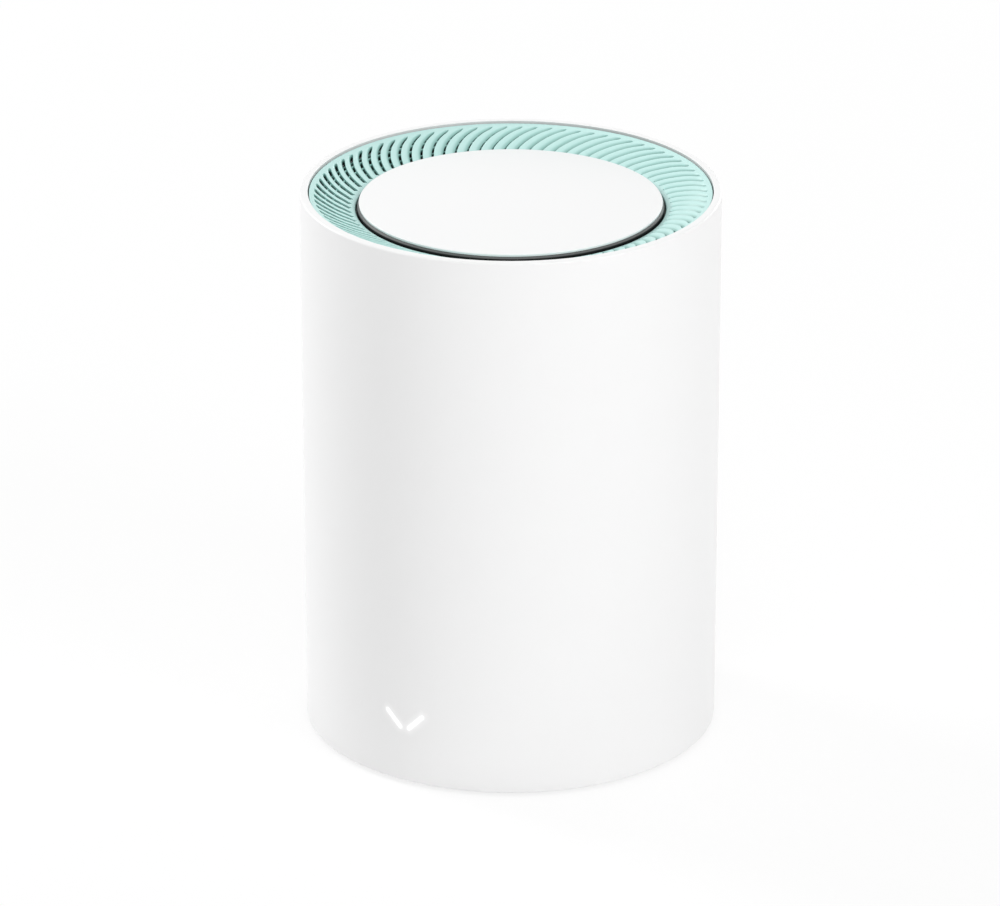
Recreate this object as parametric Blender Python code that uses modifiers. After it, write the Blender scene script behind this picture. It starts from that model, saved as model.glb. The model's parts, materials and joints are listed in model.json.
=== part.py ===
"""Mesh wifi node: a white cylinder that stands on a table, with a vaned air outlet in its top.

Run with: blender --background --python part.py
Metres, +Z up. The origin is on the table, under the middle of the housing.
-Y is the front, where the status light shows, and +Y is the rear, where the cables plug in.
"""

import math

import bmesh
import bpy
from mathutils import Matrix, Vector

MM = 0.001

# ---------------------------------------------------------------- driving sizes
GAP = 0.3 * MM  # between pieces that seat on or in one another
OVERSHOOT = 1.0 * MM  # how far a cutter runs past the face that it cuts
MERGE = 0.001 * MM  # points closer than this become one
SHARP_ANGLE = 35  # degrees between faces, above which their edge stays sharp

# Housing
SHELL_RADIUS = 52.0 * MM  # outside, at the rim
SHELL_DRAFT = 0.2 * MM  # the wall leans in by this much down to its foot
SHELL_HEIGHT = 140.0 * MM
SHELL_WALL = 2.0 * MM
RIM_FILLET = 0.5 * MM
LEDGE_WIDTH = 1.4 * MM  # inner ledge that the grille lies on
LEDGE_THICKNESS = 1.2 * MM
RABBET_WALL = 0.9 * MM  # what is left of the wall round the base cover

# Base cover, feet and their screws
FOOT_DROP = 1.0 * MM  # the feet hold the shell this far above the table
FOOT_RADIUS = 6.0 * MM
FOOT_POCKET_DEPTH = 0.8 * MM
FOOT_ANGLES = (55, 125, 235, 305)
BASE_RECESS = 0.9 * MM  # underside of the cover, above the shell's edge
BASE_THICKNESS = 1.8 * MM
BASE_RIB_HEIGHT = 3.0 * MM
BASE_RIB_WALL = 1.2 * MM
BASE_SCREW_INSET = 1.0 * MM  # of the circle of feet and screws, inside the frame's ring
BASE_BOSS_ROOF = 1.5 * MM  # closed end of a screw boss, above the screw's tip
BASE_SCREW_ANGLES = (20, 160, 200, 340)
BASE_VENT_COUNT = 20
BASE_VENT_WIDTH = 2.4 * MM
BASE_VENT_INNER = 17.0 * MM
BASE_VENT_MARGIN = 4.0 * MM  # between the vents and the feet

# Vaned grille
GRILLE_SINK = 0.88 * MM  # its outer edge, below the rim
DISH_SLOPE = 17.95  # degrees by which the dish falls towards its well
FLANGE_THICKNESS = 1.8 * MM  # of its outer edge
WELL_WALL = 0.8 * MM
HUB_THICKNESS = 1.5 * MM
VANE_COUNT = 80
VANE_PHASE = 0.9  # degrees, the outer end of the first slot
SLOT_WIDTH = 0.75 * MM
OUTER_BAND = 1.2 * MM  # plain band between the slots and the grille's edge
INNER_BAND = 1.13 * MM  # plain band between the slots and the well
SLOT_ARC_RADIUS = 14.5 * MM  # each slot is an arc of this radius in plan
SLOT_TANGENT = 58.8  # degrees from the radius, at the slot's outer end
VANE_DROP = 0.75 * MM  # a vane's low side, below its high side
VANE_FLAT = 0.5  # share of a vane's width that stays level with the dish
BAND_RISE = 0.5 * MM  # how far the outer band turns up towards the rim
RIB_SPACING = 2.6 * MM  # between the two hoops that tie the vanes together
RIB_WIDTH = 0.9 * MM
RIB_DEPTH = 0.9 * MM  # their tops, below the dish

# Cap in the middle of the grille, and the dark ring under its edge
CAP_RADIUS = 37.4 * MM
CAP_PROUD = 1.4 * MM  # its top, above the dish at the well's edge
CAP_LIP = 0.5 * MM
CAP_LIP_UNDERCUT = 0.3 * MM  # how far the lip draws in towards its foot
CAP_SPIGOT_STEP = 0.8 * MM
CAP_SPIGOT_DEPTH = 1.35 * MM
CAP_FILLET = 0.25 * MM
CAP_THICKNESS = 1.5 * MM
CAP_RIM_WALL = 1.3 * MM
TRIM_OVERHANG = 0.67 * MM  # beyond the cap's edge
TRIM_FLARE = 0.75 * MM  # height of its slanting face
TRIM_SKIRT = 1.1 * MM
TRIM_SHELF = 0.5 * MM
CLIP_INSET = 6.0 * MM  # of the clips' circle, inside the screws' circle
CLIP_ANGLES = (90, 210, 330)
CLIP_WIDTH = 5.0 * MM
CLIP_THICKNESS = 1.4 * MM
CLIP_BARB = 0.7 * MM
CLIP_HOOK = 1.6 * MM

# Screws
SCREW_RADIUS = 1.2 * MM
SCREW_HEAD_RADIUS = 2.4 * MM
SCREW_HEAD_HEIGHT = 1.0 * MM
SCREW_HEAD_TAPER = 0.5 * MM
SCREW_LENGTH = 8.0 * MM
BOSS_WALL = 1.8 * MM

# Inner frame
FRAME_PLATE = 2.0 * MM
FRAME_RING_WIDTH = 6.0 * MM
FRAME_HEADROOM = 5.0 * MM  # open space between its top ring and the grille's bosses
GRILLE_SCREW_ANGLES = (30, 150, 270)
GRILLE_SCREW_INSET = 8.4 * MM  # of the screws' circle, inside the well
GRILLE_BOSS_DROP = 2.9 * MM
ARM_WIDTH = 8.0 * MM
ARM_THICKNESS = 1.6 * MM
RAIL_WALL = 2.0 * MM
RAIL_BITE = 2.0 * MM  # how far the board's edge sits in its groove
POST_WIDTH = 8.0 * MM
POST_THICKNESS = 2.0 * MM
POST_INSET = 0.5 * MM  # of its inner face, within the ring
KEEPER_WIDTH = 2.0 * MM

# Main board and what stands on it
BOARD_THICKNESS = 1.6 * MM
CHIP_HEIGHT = 1.2 * MM
SOC_SIDE = 14.0 * MM
RAM_SIDE = 9.0 * MM
PAD_THICKNESS = 1.0 * MM
SINK_WIDTH = 46.0 * MM
SINK_HEIGHT = 58.0 * MM
SINK_BASE = 3.0 * MM
SINK_FIN_DEPTH = 14.0 * MM
SINK_FIN_WALL = 1.4 * MM
SINK_FIN_COUNT = 9
SINK_SCREW_SPACE = 1.4 * MM  # between its lower screw's head and the magnetics
SINK_SCREW_INSET = 5.0 * MM  # from its upper and lower ends
SOC_RAISE = 8.0 * MM  # above the middle of the heatsink
RAM_DROP = 12.0 * MM
SHIELD_WIDTH = 14.0 * MM
SHIELD_LENGTH = 15.0 * MM
SHIELD_HEIGHT = 3.0 * MM
SHIELD_X = 16.0 * MM
FLASH_SIZE = (8.0 * MM, 6.0 * MM)
TRANSFORMER_WIDTH = 15.0 * MM
TRANSFORMER_LENGTH = 14.0 * MM
TRANSFORMER_HEIGHT = 5.5 * MM
TRANSFORMER_SPACE = 4.0 * MM  # above the sockets
CAPACITOR_RADIUS = 4.0 * MM
CAPACITOR_HEIGHT = 9.0 * MM
INDUCTOR_SIDE = 7.0 * MM
INDUCTOR_HEIGHT = 4.0 * MM

# Sockets at the rear
JACK_WIDTH = 16.0 * MM
JACK_HEIGHT = 13.6 * MM
JACK_DEPTH = 14.4 * MM
SOCKET_WIDTH = 11.8 * MM
SOCKET_HEIGHT = 6.8 * MM
SOCKET_DEPTH = 11.5 * MM
LATCH_WIDTH = 6.2 * MM
LATCH_HEIGHT = 1.4 * MM
CONTACT_COUNT = 8
CONTACT_PITCH = 1.02 * MM
CONTACT_WIDTH = 0.45 * MM
CONTACT_THICKNESS = 0.35 * MM
CONTACT_SLANT = 4.0 * MM  # how far back each contact runs
CONTACT_HANG = 1.3 * MM  # how far it hangs into the socket
CONTACT_CEILING = 1.8 * MM  # height of the carrier's pocket over the socket
CONTACT_SETBACK = 5.0 * MM  # of the carrier's pocket, behind the mouth
DC_WIDTH = 9.0 * MM
DC_HEIGHT = 10.0 * MM
DC_BORE_RADIUS = 3.1 * MM
DC_BORE_DEPTH = 9.0 * MM
DC_PIN_RADIUS = 1.05 * MM
DC_PIN_CHAMFER = 0.4 * MM
DC_PIN_SETBACK = 1.0 * MM  # its tip, behind the socket's mouth
SOCKET_SPACING = 1.3 * MM  # between neighbouring sockets

# Panel round the sockets
PANEL_FACE = 8.9 * MM  # depth of its face, behind the housing's rearmost line
PANEL_PLATE = 1.8 * MM
PANEL_WALL = 1.2 * MM
PANEL_MARGIN = 0.9 * MM  # between the outer sockets and the panel's walls
PANEL_EDGE_SET = 0.5 * MM  # its curved edge, inside the housing's surface
PANEL_FLANGE = 2.2 * MM  # how far its flange reaches behind the housing's wall
PANEL_FLANGE_WALL = 1.3 * MM
APERTURE_MARGIN = 1.0 * MM  # of the panel's openings, round the sockets' mouths
WINDOW_BOTTOM = 10.0 * MM  # above the shell's edge
WINDOW_HEIGHT = 20.0 * MM
WINDOW_CORNER = 3.0 * MM

# Mesh button and its switch
BUTTON_RADIUS = 2.0 * MM
BUTTON_PROUD = 1.2 * MM
BUTTON_TRAVEL = 0.5 * MM
BUTTON_FLANGE = 1.0 * MM
BUTTON_FLANGE_THICKNESS = 1.0 * MM
BUTTON_STEM_RADIUS = 1.5 * MM
BUTTON_CHAMFER = 0.35 * MM
SWITCH_SIDE = 6.0 * MM
SWITCH_HEIGHT = 4.0 * MM
PLUNGER_RADIUS = 1.7 * MM
PLUNGER_PROUD = 1.7 * MM
PLUNGER_ROOT = 1.2 * MM

# Aerials and their leads
AERIAL_ANGLES = (-15, -55, -125, -165)
AERIAL_WIDTH = 14.0 * MM
AERIAL_THICKNESS = 0.8 * MM
AERIAL_LENGTH = 56.0 * MM
AERIAL_BOTTOM = 46.0 * MM
STUD_INSETS = (16.8 * MM, 5.6 * MM)  # of the studs, from an aerial's lower and upper ends
STUD_RADIUS = 0.9 * MM
LEAD_RADIUS = 0.57 * MM
LEAD_PLUG_RADIUS = 1.3 * MM
LEAD_PLUG_HEIGHT = 1.2 * MM
LEAD_TAIL = 8.0 * MM  # soldered length along the aerial
LEAD_SET = 1.6 * MM  # beside the post
LEAD_SAG = 4.0 * MM
LEAD_DROPS = (4.0 * MM, 12.0 * MM)  # of the two rows of plugs, below the heatsink
LIGHT_LEAD_RADIUS = 0.8 * MM
LIGHT_LEAD_TAIL = 6.0 * MM  # straight length at each end
LIGHT_LEAD_SAG = 2.0 * MM
LIGHT_PLUG_WIDTH = 6.0 * MM
LIGHT_PLUG_DEPTH = 4.0 * MM
LIGHT_PLUG_HEIGHT = 3.0 * MM

# Status light: two strokes of a chevron
LIGHT_HEIGHT = 16.7 * MM  # middle of the chevron, above the shell's edge
STROKE_WIDTH = 1.2 * MM
STROKE_RISE = 4.3 * MM
STROKE_TOP = 5.05 * MM  # sideways, from the middle to a stroke's upper end
STROKE_FOOT = 1.25 * MM
LIGHT_SKIN = 0.8 * MM  # wall left in front of the light guide
SHROUD_DEPTH = 3.6 * MM
SHROUD_HALF_WIDTH = 11.0 * MM
SHROUD_HALF_HEIGHT = 4.6 * MM
SHROUD_SLOT_WIDTH = 1.8 * MM
LIGHT_BOARD_THICKNESS = 1.0 * MM
LIGHT_PEG_SPACING = 9.0 * MM  # from the middle to each peg
LED_SIDE = 1.1 * MM
LED_HEIGHT = 0.9 * MM
LIGHT_BRACKET_THICKNESS = 1.5 * MM

# How finely round forms are divided
ROUND_STEPS = 48
FRAME_STEPS = 36
FOOT_STEPS = 20
SMALL_STEPS = 16
BOSS_STEPS = 12
SCREW_STEPS = 8
LEAD_STEPS = 2  # in each span of a lead, between two of its knots

# ---------------------------------------------------------------- derived layout
shell_bottom = FOOT_DROP
shell_top = shell_bottom + SHELL_HEIGHT
shell_inner = SHELL_RADIUS - SHELL_WALL
shell_foot_radius = SHELL_RADIUS - SHELL_DRAFT
shell_foot_inner = shell_foot_radius - SHELL_WALL

base_bottom = shell_bottom + BASE_RECESS
base_top = base_bottom + BASE_THICKNESS
base_radius = shell_foot_radius - RABBET_WALL - GAP
base_rib_outer = shell_foot_inner - GAP
base_rib_inner = base_rib_outer - BASE_RIB_WALL

grille_radius = shell_inner - GAP
dish_edge = shell_top - GRILLE_SINK
dish_fall = math.tan(math.radians(DISH_SLOPE))
trim_radius = CAP_RADIUS + TRIM_OVERHANG
well_radius = trim_radius + GAP
well_edge = dish_edge - (grille_radius - well_radius) * dish_fall
slot_outer = grille_radius - OUTER_BAND
slot_inner = well_radius + INNER_BAND
slot_middle = (slot_inner + slot_outer) / 2
rib_radii = (slot_middle + RIB_SPACING / 2, slot_middle - RIB_SPACING / 2)
grille_screw_circle = well_radius - GRILLE_SCREW_INSET
clip_circle = grille_screw_circle - CLIP_INSET
ledge_inner = shell_inner - LEDGE_WIDTH
flange_bottom = dish_edge - FLANGE_THICKNESS
ledge_top = flange_bottom - GAP

cap_top = well_edge + CAP_PROUD
cap_bottom = cap_top - CAP_LIP - CAP_SPIGOT_DEPTH
cap_spigot_radius = CAP_RADIUS - CAP_SPIGOT_STEP
trim_top = cap_top - CAP_LIP - GAP
trim_bottom = min(trim_top - TRIM_FLARE - TRIM_SKIRT, cap_bottom - GAP - TRIM_SHELF)
trim_inner = cap_spigot_radius + GAP
cap_rim_inner = cap_spigot_radius - CAP_RIM_WALL
hub_top = trim_bottom - GAP
hub_bottom = hub_top - HUB_THICKNESS
grille_boss_bottom = hub_bottom - GRILLE_BOSS_DROP

frame_bottom = base_top + GAP
frame_ring_top = frame_bottom + FRAME_PLATE
frame_outer = base_rib_inner - GAP
frame_inner = frame_outer - FRAME_RING_WIDTH
base_screw_circle = frame_inner - BASE_SCREW_INSET
base_vent_outer = base_screw_circle - FOOT_RADIUS - BASE_VENT_MARGIN
frame_boss_top = grille_boss_bottom - GAP
frame_top = frame_boss_top - FRAME_HEADROOM + FRAME_PLATE
frame_top_under = frame_top - FRAME_PLATE
frame_root = (frame_bottom + frame_ring_top) / 2  # posts start and end inside the rings
frame_head = (frame_top + frame_top_under) / 2
boss_radius = SCREW_RADIUS + GAP + BOSS_WALL
screw_bore = SCREW_RADIUS + GAP
base_screw_seat = base_bottom + SCREW_HEAD_HEIGHT + GAP / 3
base_boss_top = base_screw_seat + SCREW_LENGTH + GAP + BASE_BOSS_ROOF

rear_line = SHELL_RADIUS
panel_face = rear_line - PANEL_FACE
panel_back = panel_face - PANEL_PLATE
jack_front = panel_back - GAP
board_back = jack_front - JACK_DEPTH - GAP
board_front = board_back - BOARD_THICKNESS
rail_back = board_back + GAP + RAIL_WALL
rail_front = board_front - GAP - RAIL_WALL
rail_outer = math.sqrt(frame_outer**2 - rail_back**2) - GAP
board_half = rail_outer - RAIL_WALL - GAP
board_bottom = frame_ring_top + GAP
board_top = frame_top_under - GAP

# Sockets from +X to -X: power, WAN, LAN, centred as one row in the window
socket_row = DC_WIDTH + 2 * JACK_WIDTH + 2 * SOCKET_SPACING
dc_x = socket_row / 2 - DC_WIDTH / 2
wan_x = socket_row / 2 - DC_WIDTH - SOCKET_SPACING - JACK_WIDTH / 2
lan_x = wan_x - JACK_WIDTH - SOCKET_SPACING
window_half = socket_row / 2 + PANEL_MARGIN + PANEL_WALL + GAP
window_bottom = shell_bottom + WINDOW_BOTTOM
window_top = window_bottom + WINDOW_HEIGHT
window_middle = (window_bottom + window_top) / 2
tray_half = window_half - GAP
panel_edge_radius = shell_foot_radius - PANEL_EDGE_SET
flange_outer = shell_foot_inner - GAP
flange_inner = flange_outer - PANEL_FLANGE_WALL
jack_back = jack_front - JACK_DEPTH
jack_bottom = window_middle - JACK_HEIGHT / 2
jack_top = window_middle + JACK_HEIGHT / 2
socket_bottom = window_middle - (SOCKET_HEIGHT - LATCH_HEIGHT) / 2
socket_top = socket_bottom + SOCKET_HEIGHT
socket_back = jack_front - SOCKET_DEPTH
dc_bottom = window_bottom + GAP + PANEL_WALL + PANEL_MARGIN
dc_middle = dc_bottom + DC_HEIGHT / 2
button_z = dc_bottom + DC_HEIGHT + GAP + max(SWITCH_SIDE / 2, BUTTON_RADIUS + BUTTON_FLANGE)
button_front = panel_face + BUTTON_PROUD

rear_parts = board_back + GAP  # where parts on the board's rear face start
front_parts = board_front - GAP
switch_front = rear_parts + SWITCH_HEIGHT
chip_front = front_parts - CHIP_HEIGHT
pad_front = chip_front - GAP - PAD_THICKNESS
sink_back = pad_front - GAP
coils_bottom = jack_top + TRANSFORMER_SPACE
coils_top = coils_bottom + TRANSFORMER_LENGTH
sink_screw_low = coils_top + SINK_SCREW_SPACE + SCREW_HEAD_RADIUS
sink_bottom = sink_screw_low - SINK_SCREW_INSET
sink_middle = sink_bottom + SINK_HEIGHT / 2
sink_screw_rise = SINK_HEIGHT / 2 - SINK_SCREW_INSET
fin_pitch = (SINK_WIDTH - SINK_FIN_WALL) / (SINK_FIN_COUNT - 1)
sink_screw_x = (SINK_WIDTH - SINK_FIN_WALL - fin_pitch) / 2  # midway between the last two fins

light_z = shell_bottom + LIGHT_HEIGHT
light_pocket_front = LIGHT_SKIN - math.sqrt(shell_foot_radius**2 - STROKE_TOP**2)
shroud_front = GAP - math.sqrt(shell_foot_inner**2 - SHROUD_HALF_WIDTH**2)
shroud_back = shroud_front + SHROUD_DEPTH
light_board_front = shroud_back + GAP
light_board_back = light_board_front + LIGHT_BOARD_THICKNESS
bracket_front = light_board_back + GAP
bracket_back = bracket_front + LIGHT_BRACKET_THICKNESS

post_inner = frame_inner + POST_INSET
post_outer = post_inner + POST_THICKNESS
aerial_inner = post_outer + GAP
aerial_bottom = shell_bottom + AERIAL_BOTTOM
aerial_top = aerial_bottom + AERIAL_LENGTH
stud_levels = {"low": aerial_bottom + STUD_INSETS[0], "high": aerial_top - STUD_INSETS[1]}


def dish_height(radius):
    """Height of the dish's upper face at this radius."""
    return dish_edge - (grille_radius - radius) * dish_fall


vane_height = dish_height(slot_outer) - flange_bottom


# ---------------------------------------------------------------- scene and helpers
for old in list(bpy.data.objects):
    bpy.data.objects.remove(old)

parts = bpy.data.collections.new("mesh_wifi_node")
helpers = bpy.data.collections.new("cutters")
bpy.context.scene.collection.children.link(parts)
bpy.context.scene.collection.children.link(helpers)


def plastic(name, colour, roughness=0.5, metallic=0.0):
    material = bpy.data.materials.new(name)
    material.use_nodes = True
    shader = material.node_tree.nodes["Principled BSDF"]
    shader.inputs["Base Color"].default_value = (*colour, 1.0)
    shader.inputs["Roughness"].default_value = roughness
    shader.inputs["Metallic"].default_value = metallic
    material.diffuse_color = (*colour, 1.0)
    return material


WHITE = plastic("white_satin", (0.90, 0.90, 0.90), 0.35)
MINT = plastic("mint", (0.58, 0.84, 0.81), 0.5)
DARK_GLOSS = plastic("dark_gloss", (0.02, 0.02, 0.022), 0.12)
NATURAL = plastic("natural_plastic", (0.72, 0.72, 0.70), 0.6)
BLACK = plastic("black_plastic", (0.025, 0.025, 0.027), 0.5)
RUBBER = plastic("foot_rubber", (0.07, 0.07, 0.07), 0.85)
STEEL = plastic("plated_steel", (0.62, 0.62, 0.60), 0.3, 1.0)
ALUMINIUM = plastic("aluminium", (0.66, 0.67, 0.68), 0.4, 1.0)
GOLD = plastic("gold_plating", (0.83, 0.62, 0.25), 0.25, 1.0)
BOARD = plastic("board_green", (0.02, 0.16, 0.08), 0.45)
PAD = plastic("thermal_pad", (0.35, 0.45, 0.60), 0.9)
CLEAR = plastic("light_guide", (0.92, 0.94, 0.95), 0.15)
LED_YELLOW = plastic("led_body", (0.90, 0.86, 0.55), 0.4)


def place(name, mesh, material=None, helper=False):
    """An object for this mesh: a named part, or a cutter that isn't rendered."""
    obj = bpy.data.objects.new(name, mesh)
    (helpers if helper else parts).objects.link(obj)
    if material:
        mesh.materials.append(material)
    if helper:
        obj.hide_render = True
        obj.display_type = "WIRE"
    return obj


def mesh_from(name, bm):
    """Closes up a bmesh, turns its faces outwards and makes it a mesh."""
    bmesh.ops.remove_doubles(bm, verts=bm.verts, dist=MERGE)
    bmesh.ops.recalc_face_normals(bm, faces=bm.faces)
    mesh = bpy.data.meshes.new(name)
    bm.to_mesh(mesh)
    bm.free()
    mesh.shade_smooth()
    mesh.set_sharp_from_angle(angle=math.radians(SHARP_ANGLE))
    return mesh


def block(name, x, y, z, material=None, helper=False):
    """A box between two corners, given as (low, high) on each axis."""
    bm = bmesh.new()
    bmesh.ops.create_cube(bm, size=1.0)
    low = Vector((x[0], y[0], z[0]))
    high = Vector((x[1], y[1], z[1]))
    bmesh.ops.scale(bm, vec=high - low, verts=bm.verts)
    bmesh.ops.translate(bm, vec=(low + high) / 2, verts=bm.verts)
    return place(name, mesh_from(name, bm), material, helper)


AXES = {"X": Vector((1, 0, 0)), "Y": Vector((0, 1, 0)), "Z": Vector((0, 0, 1))}


def rod(name, radius, start, length, axis="Z", material=None, helper=False, steps=SMALL_STEPS):
    """A cylinder from the point start, along an axis."""
    bm = bmesh.new()
    bmesh.ops.create_cone(
        bm, cap_ends=True, segments=steps, radius1=radius, radius2=radius, depth=length
    )
    turn = Vector((0, 0, 1)).rotation_difference(AXES[axis]).to_matrix().to_4x4()
    middle = Vector(start) + AXES[axis] * length / 2
    bmesh.ops.transform(bm, matrix=Matrix.Translation(middle) @ turn, verts=bm.verts)
    return place(name, mesh_from(name, bm), material, helper)


def peg_or_hole(name, radius, start, length, axis="Z"):
    """A small round helper: the hole of a screw or a peg, or the peg itself."""
    return rod(name, radius, start, length, axis, helper=True, steps=SCREW_STEPS)


def round_boss(name, start, length, axis="Z"):
    """A screw's boss, to be joined to the piece that carries it."""
    return rod(name, boss_radius, start, length, axis, helper=True, steps=BOSS_STEPS)


def turned(name, profile, material=None, helper=False, steps=ROUND_STEPS):
    """A turned solid. The profile of (radius, height) runs down its outer side.
    It is a closed loop, or starts and ends on the axis."""
    mesh = bpy.data.meshes.new(name)
    points = [(radius, 0.0, height) for radius, height in profile]
    edges = [(i, i + 1) for i in range(len(points) - 1)]
    if profile[0][0] > 0:
        edges.append((len(points) - 1, 0))
    mesh.from_pydata(points, edges, [])
    obj = place(name, mesh, material, helper)
    screw = obj.modifiers.new("turn", "SCREW")
    screw.axis = "Z"
    screw.angle = 2 * math.pi
    screw.steps = steps
    screw.render_steps = steps
    screw.use_merge_vertices = True
    screw.merge_threshold = MERGE
    screw.use_smooth_shade = False
    return obj


def as_mesh(curve_object, name, material=None, helper=False):
    """Makes a curve object a welded mesh object, and removes the curve."""
    bpy.context.view_layer.update()
    graph = bpy.context.evaluated_depsgraph_get()
    mesh = bpy.data.meshes.new_from_object(curve_object.evaluated_get(graph))
    mesh.materials.clear()
    bm = bmesh.new()
    bm.from_mesh(mesh)
    matrix = curve_object.matrix_world.copy()
    bpy.data.objects.remove(curve_object)
    bpy.data.meshes.remove(mesh)
    made = place(name, mesh_from(name, bm), material, helper)
    made.matrix_world = matrix
    return made


FACINGS = {
    "X": Matrix(((0, 0, 1), (1, 0, 0), (0, 1, 0))),
    "Y": Matrix(((1, 0, 0), (0, 0, -1), (0, 1, 0))),
    "Z": Matrix(((1, 0, 0), (0, 1, 0), (0, 0, 1))),
}


def prism(name, outline, span, facing="Y", material=None, helper=False, holes=()):
    """A flat outline made solid. Facing Z its points are (x, y), facing Y (x, z) and
    facing X (y, z). The span is (low, high) along the way it faces."""
    curve = bpy.data.curves.new(name + "_outline", "CURVE")
    curve.dimensions = "2D"
    curve.fill_mode = "BOTH"
    curve.extrude = (span[1] - span[0]) / 2
    for ring in (outline, *holes):
        spline = curve.splines.new("POLY")
        spline.points.add(len(ring) - 1)
        for point, (a, b) in zip(spline.points, ring):
            point.co = (a, b, 0.0, 1.0)
        spline.use_cyclic_u = True
    holder = bpy.data.objects.new(name + "_outline", curve)
    bpy.context.scene.collection.objects.link(holder)
    middle = AXES[facing] * (span[0] + span[1]) / 2
    holder.matrix_world = Matrix.Translation(middle) @ FACINGS[facing].to_4x4()
    return as_mesh(holder, name, material, helper)


def tube(name, points, radius, material=None):
    """A round lead along a smooth curve through these points."""
    curve = bpy.data.curves.new(name + "_route", "CURVE")
    curve.dimensions = "3D"
    curve.bevel_depth = radius
    curve.bevel_resolution = 2
    curve.use_fill_caps = True
    spline = curve.splines.new("POLY")
    spline.points.add(len(points) - 1)
    for point, place_at in zip(spline.points, points):
        point.co = (*place_at, 1.0)
    holder = bpy.data.objects.new(name + "_route", curve)
    bpy.context.scene.collection.objects.link(holder)
    return as_mesh(holder, name, material)


def through(knots, steps):
    """Points of a smooth curve through the knots, with the same number in each span."""
    ends = [2 * knots[0] - knots[1], *knots, 2 * knots[-1] - knots[-2]]
    found = [knots[0].copy()]
    for i in range(1, len(ends) - 2):
        before, start, stop, after = ends[i - 1 : i + 3]
        for step in range(1, steps + 1):
            t = step / steps
            found.append(
                0.5
                * (
                    2 * start
                    + (stop - before) * t
                    + (2 * before - 5 * start + 4 * stop - after) * t**2
                    + (3 * start - before - 3 * stop + after) * t**3
                )
            )
    return found


def boolean(target, other, operation):
    modifier = target.modifiers.new(other.name, "BOOLEAN")
    modifier.operation = operation
    modifier.object = other
    modifier.solver = "EXACT"


def cut(target, *others):
    for other in others:
        boolean(target, other, "DIFFERENCE")


def join(target, *others):
    for other in others:
        boolean(target, other, "UNION")


def repeat(obj, count, step):
    """Makes a row of separate copies, each this far from the last."""
    row = obj.modifiers.new("row", "ARRAY")
    row.count = count
    row.use_relative_offset = False
    row.use_constant_offset = True
    row.constant_offset_displace = step
    row.use_merge_vertices = False


def turn_about_z(obj, degrees):
    obj.matrix_world = Matrix.Rotation(math.radians(degrees), 4, "Z") @ obj.matrix_world
    return obj


def round_the_axis(radius, degrees, height=0.0):
    angle = math.radians(degrees)
    return Vector((radius * math.cos(angle), radius * math.sin(angle), height))


def arc_points(centre, radius, start, stop, steps):
    """Points on an arc, angles in degrees."""
    for step in range(steps + 1):
        angle = math.radians(start + (stop - start) * step / steps)
        yield centre[0] + radius * math.cos(angle), centre[1] + radius * math.sin(angle)


def circle(centre, radius, steps=BOSS_STEPS):
    """The outline of a round hole."""
    return list(arc_points(centre, radius, 0, 360, steps))[:-1]


def rounded_rectangle(x, z, corner, steps=3):
    outline = []
    corners = ((x[1], z[1], 0), (x[0], z[1], 90), (x[0], z[0], 180), (x[1], z[0], 270))
    for cx, cz, start in corners:
        centre = (
            cx - math.copysign(corner, cx - (x[0] + x[1]) / 2),
            cz - math.copysign(corner, cz - (z[0] + z[1]) / 2),
        )
        outline.extend(arc_points(centre, corner, start, start + 90, steps))
    return outline


HEAD_TURN = {"up": 0.0, "down": math.pi, "rear": -math.pi / 2}


def screw(name, seat, head="up"):
    """A pan-head screw, whose head bears on the point seat and faces up, down or
    to the rear."""
    obj = turned(
        name,
        [
            (0, SCREW_HEAD_HEIGHT),
            (SCREW_HEAD_RADIUS - SCREW_HEAD_TAPER, SCREW_HEAD_HEIGHT),
            (SCREW_HEAD_RADIUS, 0),
            (SCREW_RADIUS, 0),
            (SCREW_RADIUS, -SCREW_LENGTH),
            (0, -SCREW_LENGTH),
        ],
        STEEL,
        steps=SCREW_STEPS,
    )
    obj.rotation_euler.x = HEAD_TURN[head]
    obj.location = seat
    return obj


# ---------------------------------------------------------------- housing
def make_shell():
    """The sleeve: rim, ledge for the grille, seat for the base cover, window for
    the port panel and blind pockets for the light guides."""
    rim_inner = shell_inner + RIM_FILLET / 2
    rabbet = shell_foot_radius - RABBET_WALL
    fillet_centre = (SHELL_RADIUS - RIM_FILLET, shell_top - RIM_FILLET)
    profile = [(rim_inner, shell_top)]
    profile += list(arc_points(fillet_centre, RIM_FILLET, 90, 0, 2))
    profile += [
        (shell_foot_radius, shell_bottom + RIM_FILLET / 2),
        (shell_foot_radius - RIM_FILLET / 2, shell_bottom),
        (rabbet, shell_bottom),
        (rabbet, base_top + GAP),
        (shell_foot_inner, base_top + GAP),
        (shell_inner, ledge_top - LEDGE_THICKNESS),
        (ledge_inner, ledge_top - LEDGE_THICKNESS),
        (ledge_inner, ledge_top),
        (shell_inner, ledge_top),
        (shell_inner, shell_top - RIM_FILLET / 2),
    ]
    shell = turned("outer_shell", profile, WHITE)
    window = prism(
        "window_cutter",
        rounded_rectangle((-window_half, window_half), (window_bottom, window_top), WINDOW_CORNER),
        (0, SHELL_RADIUS + OVERSHOOT),
        helper=True,
    )
    cut(shell, window)
    for side in (-1, 1):
        pocket = prism(
            f"light_pocket_cutter_{side}",
            stroke_outline(side, STROKE_WIDTH / 2 + GAP),
            (light_pocket_front, 0),
            helper=True,
        )
        cut(shell, pocket)
    return shell


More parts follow.
